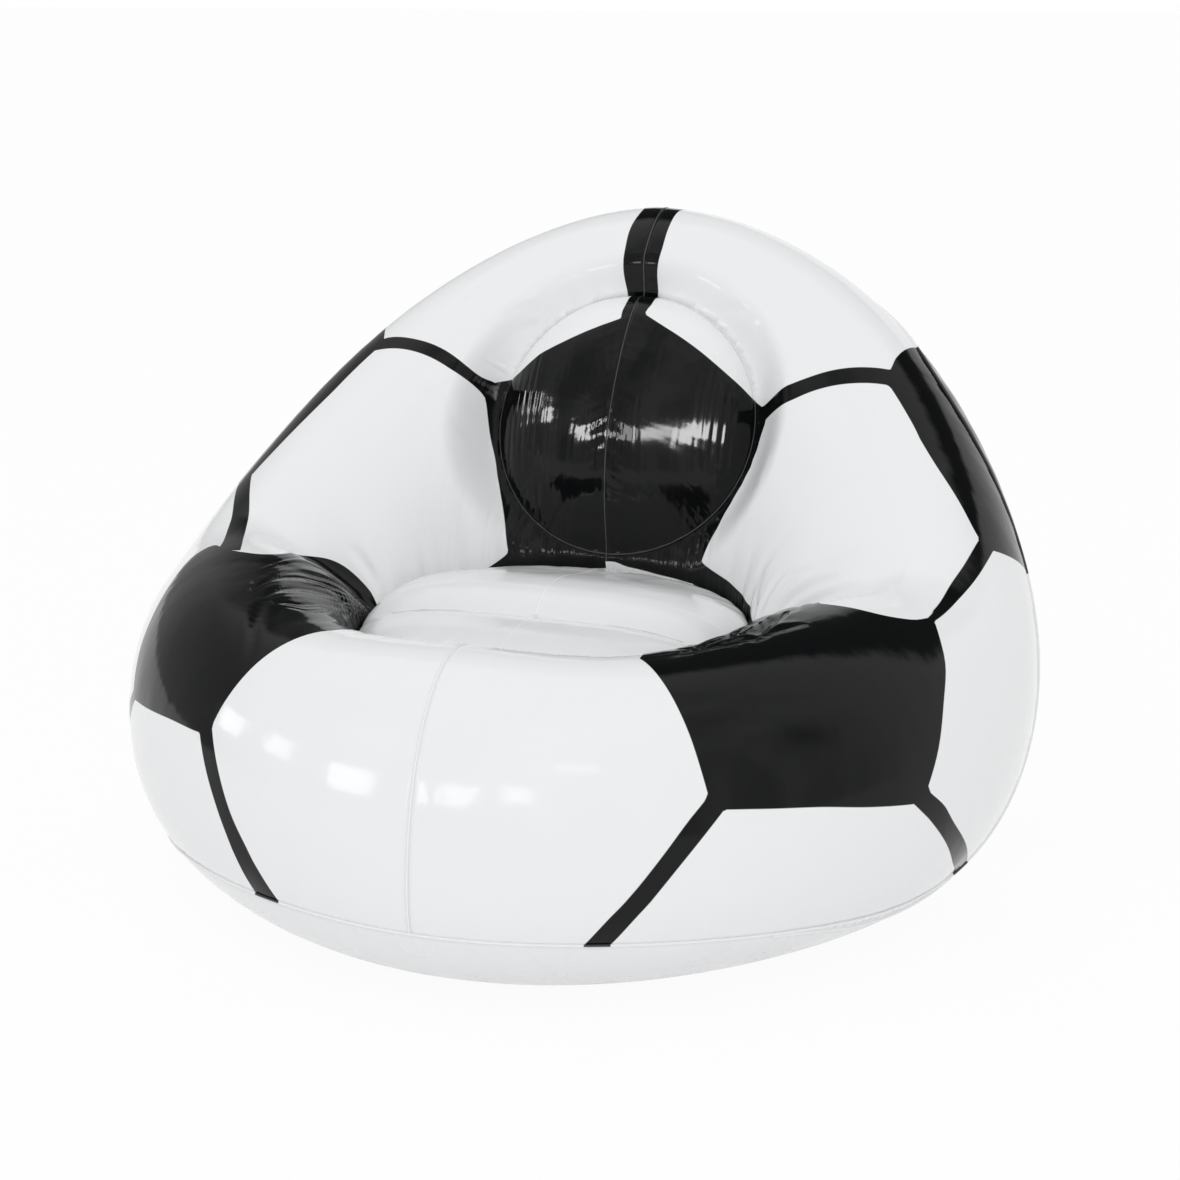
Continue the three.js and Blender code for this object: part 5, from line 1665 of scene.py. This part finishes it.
# Windows round the front of the room: azimuth, height above level, width, height and brightness. The
# headrest mirrors its own row, because its dome mirrors higher parts of the room than the real one.
body_windows = [
    (-72, 11, 0.6, 0.55, 0.7), (-56, 13, 0.55, 0.55, 0.75), (-34, 12, 0.75, 0.65, 0.9),
    (-12, 13, 0.6, 0.6, 0.85), (2, 16, 0.5, 0.5, 0.7), (16, 29, 0.8, 0.35, 0.3),
]
headrest_windows = [
    (-79, 22, 0.35, 0.7, 2.6), (-67, 23, 0.5, 0.65, 3), (-38, 23, 1.1, 0.55, 3.8), (-24, 25, 0.3, 0.6, 3),
    (-8, 27, 0.8, 0.45, 1.6), (13, 28, 1.5, 0.65, 3.2), (38, 25, 1.9, 0.85, 4.2),
]
body_films = ("front_film_right", "front_film_left", "seat_film_right", "seat_film_left")
headrest_films = ("headrest_film_right", "headrest_film_left")


def white_light(tree, strength):
    return add_node(tree, "ShaderNodeBackground", Color=(1, 1, 1, 1), Strength=strength).outputs[0]


def make_camera(studio):
    camera = bpy.data.cameras.new("photo_camera")
    camera.sensor_width = SENSOR_WIDTH
    camera.lens = SENSOR_WIDTH * FOCAL_PIXELS / PICTURE_PIXELS
    place = np.array(MIDDLE) + studio.distance * toward(studio.azimuth, studio.elevation)
    bpy.context.scene.camera = aimed(bpy.data.objects.new("photo_camera", camera), tuple(place), MIDDLE)


def make_floor(colour):
    """A matt floor, seen nearly white with the object's shadow left in it."""
    floor_material, tree, shader, output = new_material("matt_studio_floor")
    set_inputs(tree, shader, Base_Color=linear(colour), Roughness=0.9, Specular_IOR_Level=0.1)
    white = add_node(tree, "ShaderNodeEmission", Color=(1, 1, 1, 1), Strength=1.0).outputs[0]
    share = times(tree, seen_rays(tree), FLOOR_WHITE_SHARE)
    both = add_node(tree, "ShaderNodeMixShader", _0=share, _1=shader.outputs[0], _2=white)
    set_inputs(tree, output, Surface=both.outputs[0])
    half = FLOOR_HALF
    corners = [(-half, -half, 0), (half, -half, 0), (half, half, 0), (-half, half, 0)]
    floor = placed("studio_floor", new_mesh("studio_floor", corners, [(0, 1, 2, 3)]), rounded=False)
    floor.data.materials.append(floor_material)
    floor.location.z = -FLOOR_DEPTH


def make_air(strength):
    """Even light from all round, with the room that is seen and mirrored."""
    world = bpy.data.worlds.new("studio_air")
    bpy.context.scene.world = world
    world.use_nodes = True
    tree = world.node_tree
    tree.nodes.clear()
    light, room = white_light(tree, strength), white_light(tree, room_in_reflections(tree))
    both = add_node(tree, "ShaderNodeMixShader", _0=seen_rays(tree), _1=light, _2=room)
    add_node(tree, "ShaderNodeOutputWorld", Surface=both.outputs[0])


def make_lamps(studio):
    softbox("overhead_softbox", *OVERHEAD_PLACE, OVERHEAD_SIZE, studio.key_power, MIDDLE)
    softbox("front_softbox", *FRONT_PLACE, FRONT_SIZE, studio.key_power * FRONT_SHARE, MIDDLE)
    for row, lit in ((body_windows, body_films), (headrest_windows, headrest_films)):
        for azimuth, elevation, width, height, share in row:
            power = studio.window_power * share * width * height
            name = f"window_{azimuth + 90}_{elevation}"
            softbox(name, azimuth, elevation, WINDOW_DISTANCE, (width, height), power, MIDDLE, lit)


class ARMCHAIR_OT_stage(bpy.types.Operator):
    """Make the floor, the light and the camera"""

    bl_idname = "armchair.stage"
    bl_label = "Stage"

    def execute(self, context):
        scene = context.scene
        scene.view_settings.view_transform = "Standard"
        make_camera(scene.armchair_studio)
        make_floor(scene.armchair_colours.floor)
        make_air(scene.armchair_studio.air)
        make_lamps(scene.armchair_studio)
        return {"FINISHED"}


class ARMCHAIR_PT_panel(bpy.types.Panel):
    """Lists the armchair's pieces and settings"""

    bl_idname = "ARMCHAIR_PT_panel"
    bl_label = "Inflatable armchair"
    bl_space_type = "VIEW_3D"
    bl_region_type = "UI"
    bl_category = "Armchair"

    def draw(self, context):
        for group in (context.scene.armchair_film, context.scene.armchair_colours, context.scene.armchair_studio):
            for name in group.__annotations__:
                self.layout.prop(group, name)
        for operator in operators:
            self.layout.operator(operator.bl_idname)


operators = (
    ARMCHAIR_OT_front_films,
    ARMCHAIR_OT_rear_films,
    ARMCHAIR_OT_base_film,
    ARMCHAIR_OT_seat_films,
    ARMCHAIR_OT_welds,
    ARMCHAIR_OT_inner_webs,
    ARMCHAIR_OT_valve,
    ARMCHAIR_OT_stage,
)
classes = (ArmchairColours, ArmchairFilm, ArmchairStudio, *operators, ARMCHAIR_PT_panel)


def register():
    for cls in classes:
        bpy.utils.register_class(cls)
    bpy.types.Scene.armchair_colours = bpy.props.PointerProperty(type=ArmchairColours)
    bpy.types.Scene.armchair_film = bpy.props.PointerProperty(type=ArmchairFilm)
    bpy.types.Scene.armchair_studio = bpy.props.PointerProperty(type=ArmchairStudio)


def unregister():
    del bpy.types.Scene.armchair_studio
    del bpy.types.Scene.armchair_film
    del bpy.types.Scene.armchair_colours
    for cls in reversed(classes):
        bpy.utils.unregister_class(cls)


def main():
    register()
    for operator in operators:
        group, name = operator.bl_idname.split(".")
        getattr(getattr(bpy.ops, group), name)()


if __name__ == "__main__":
    main()
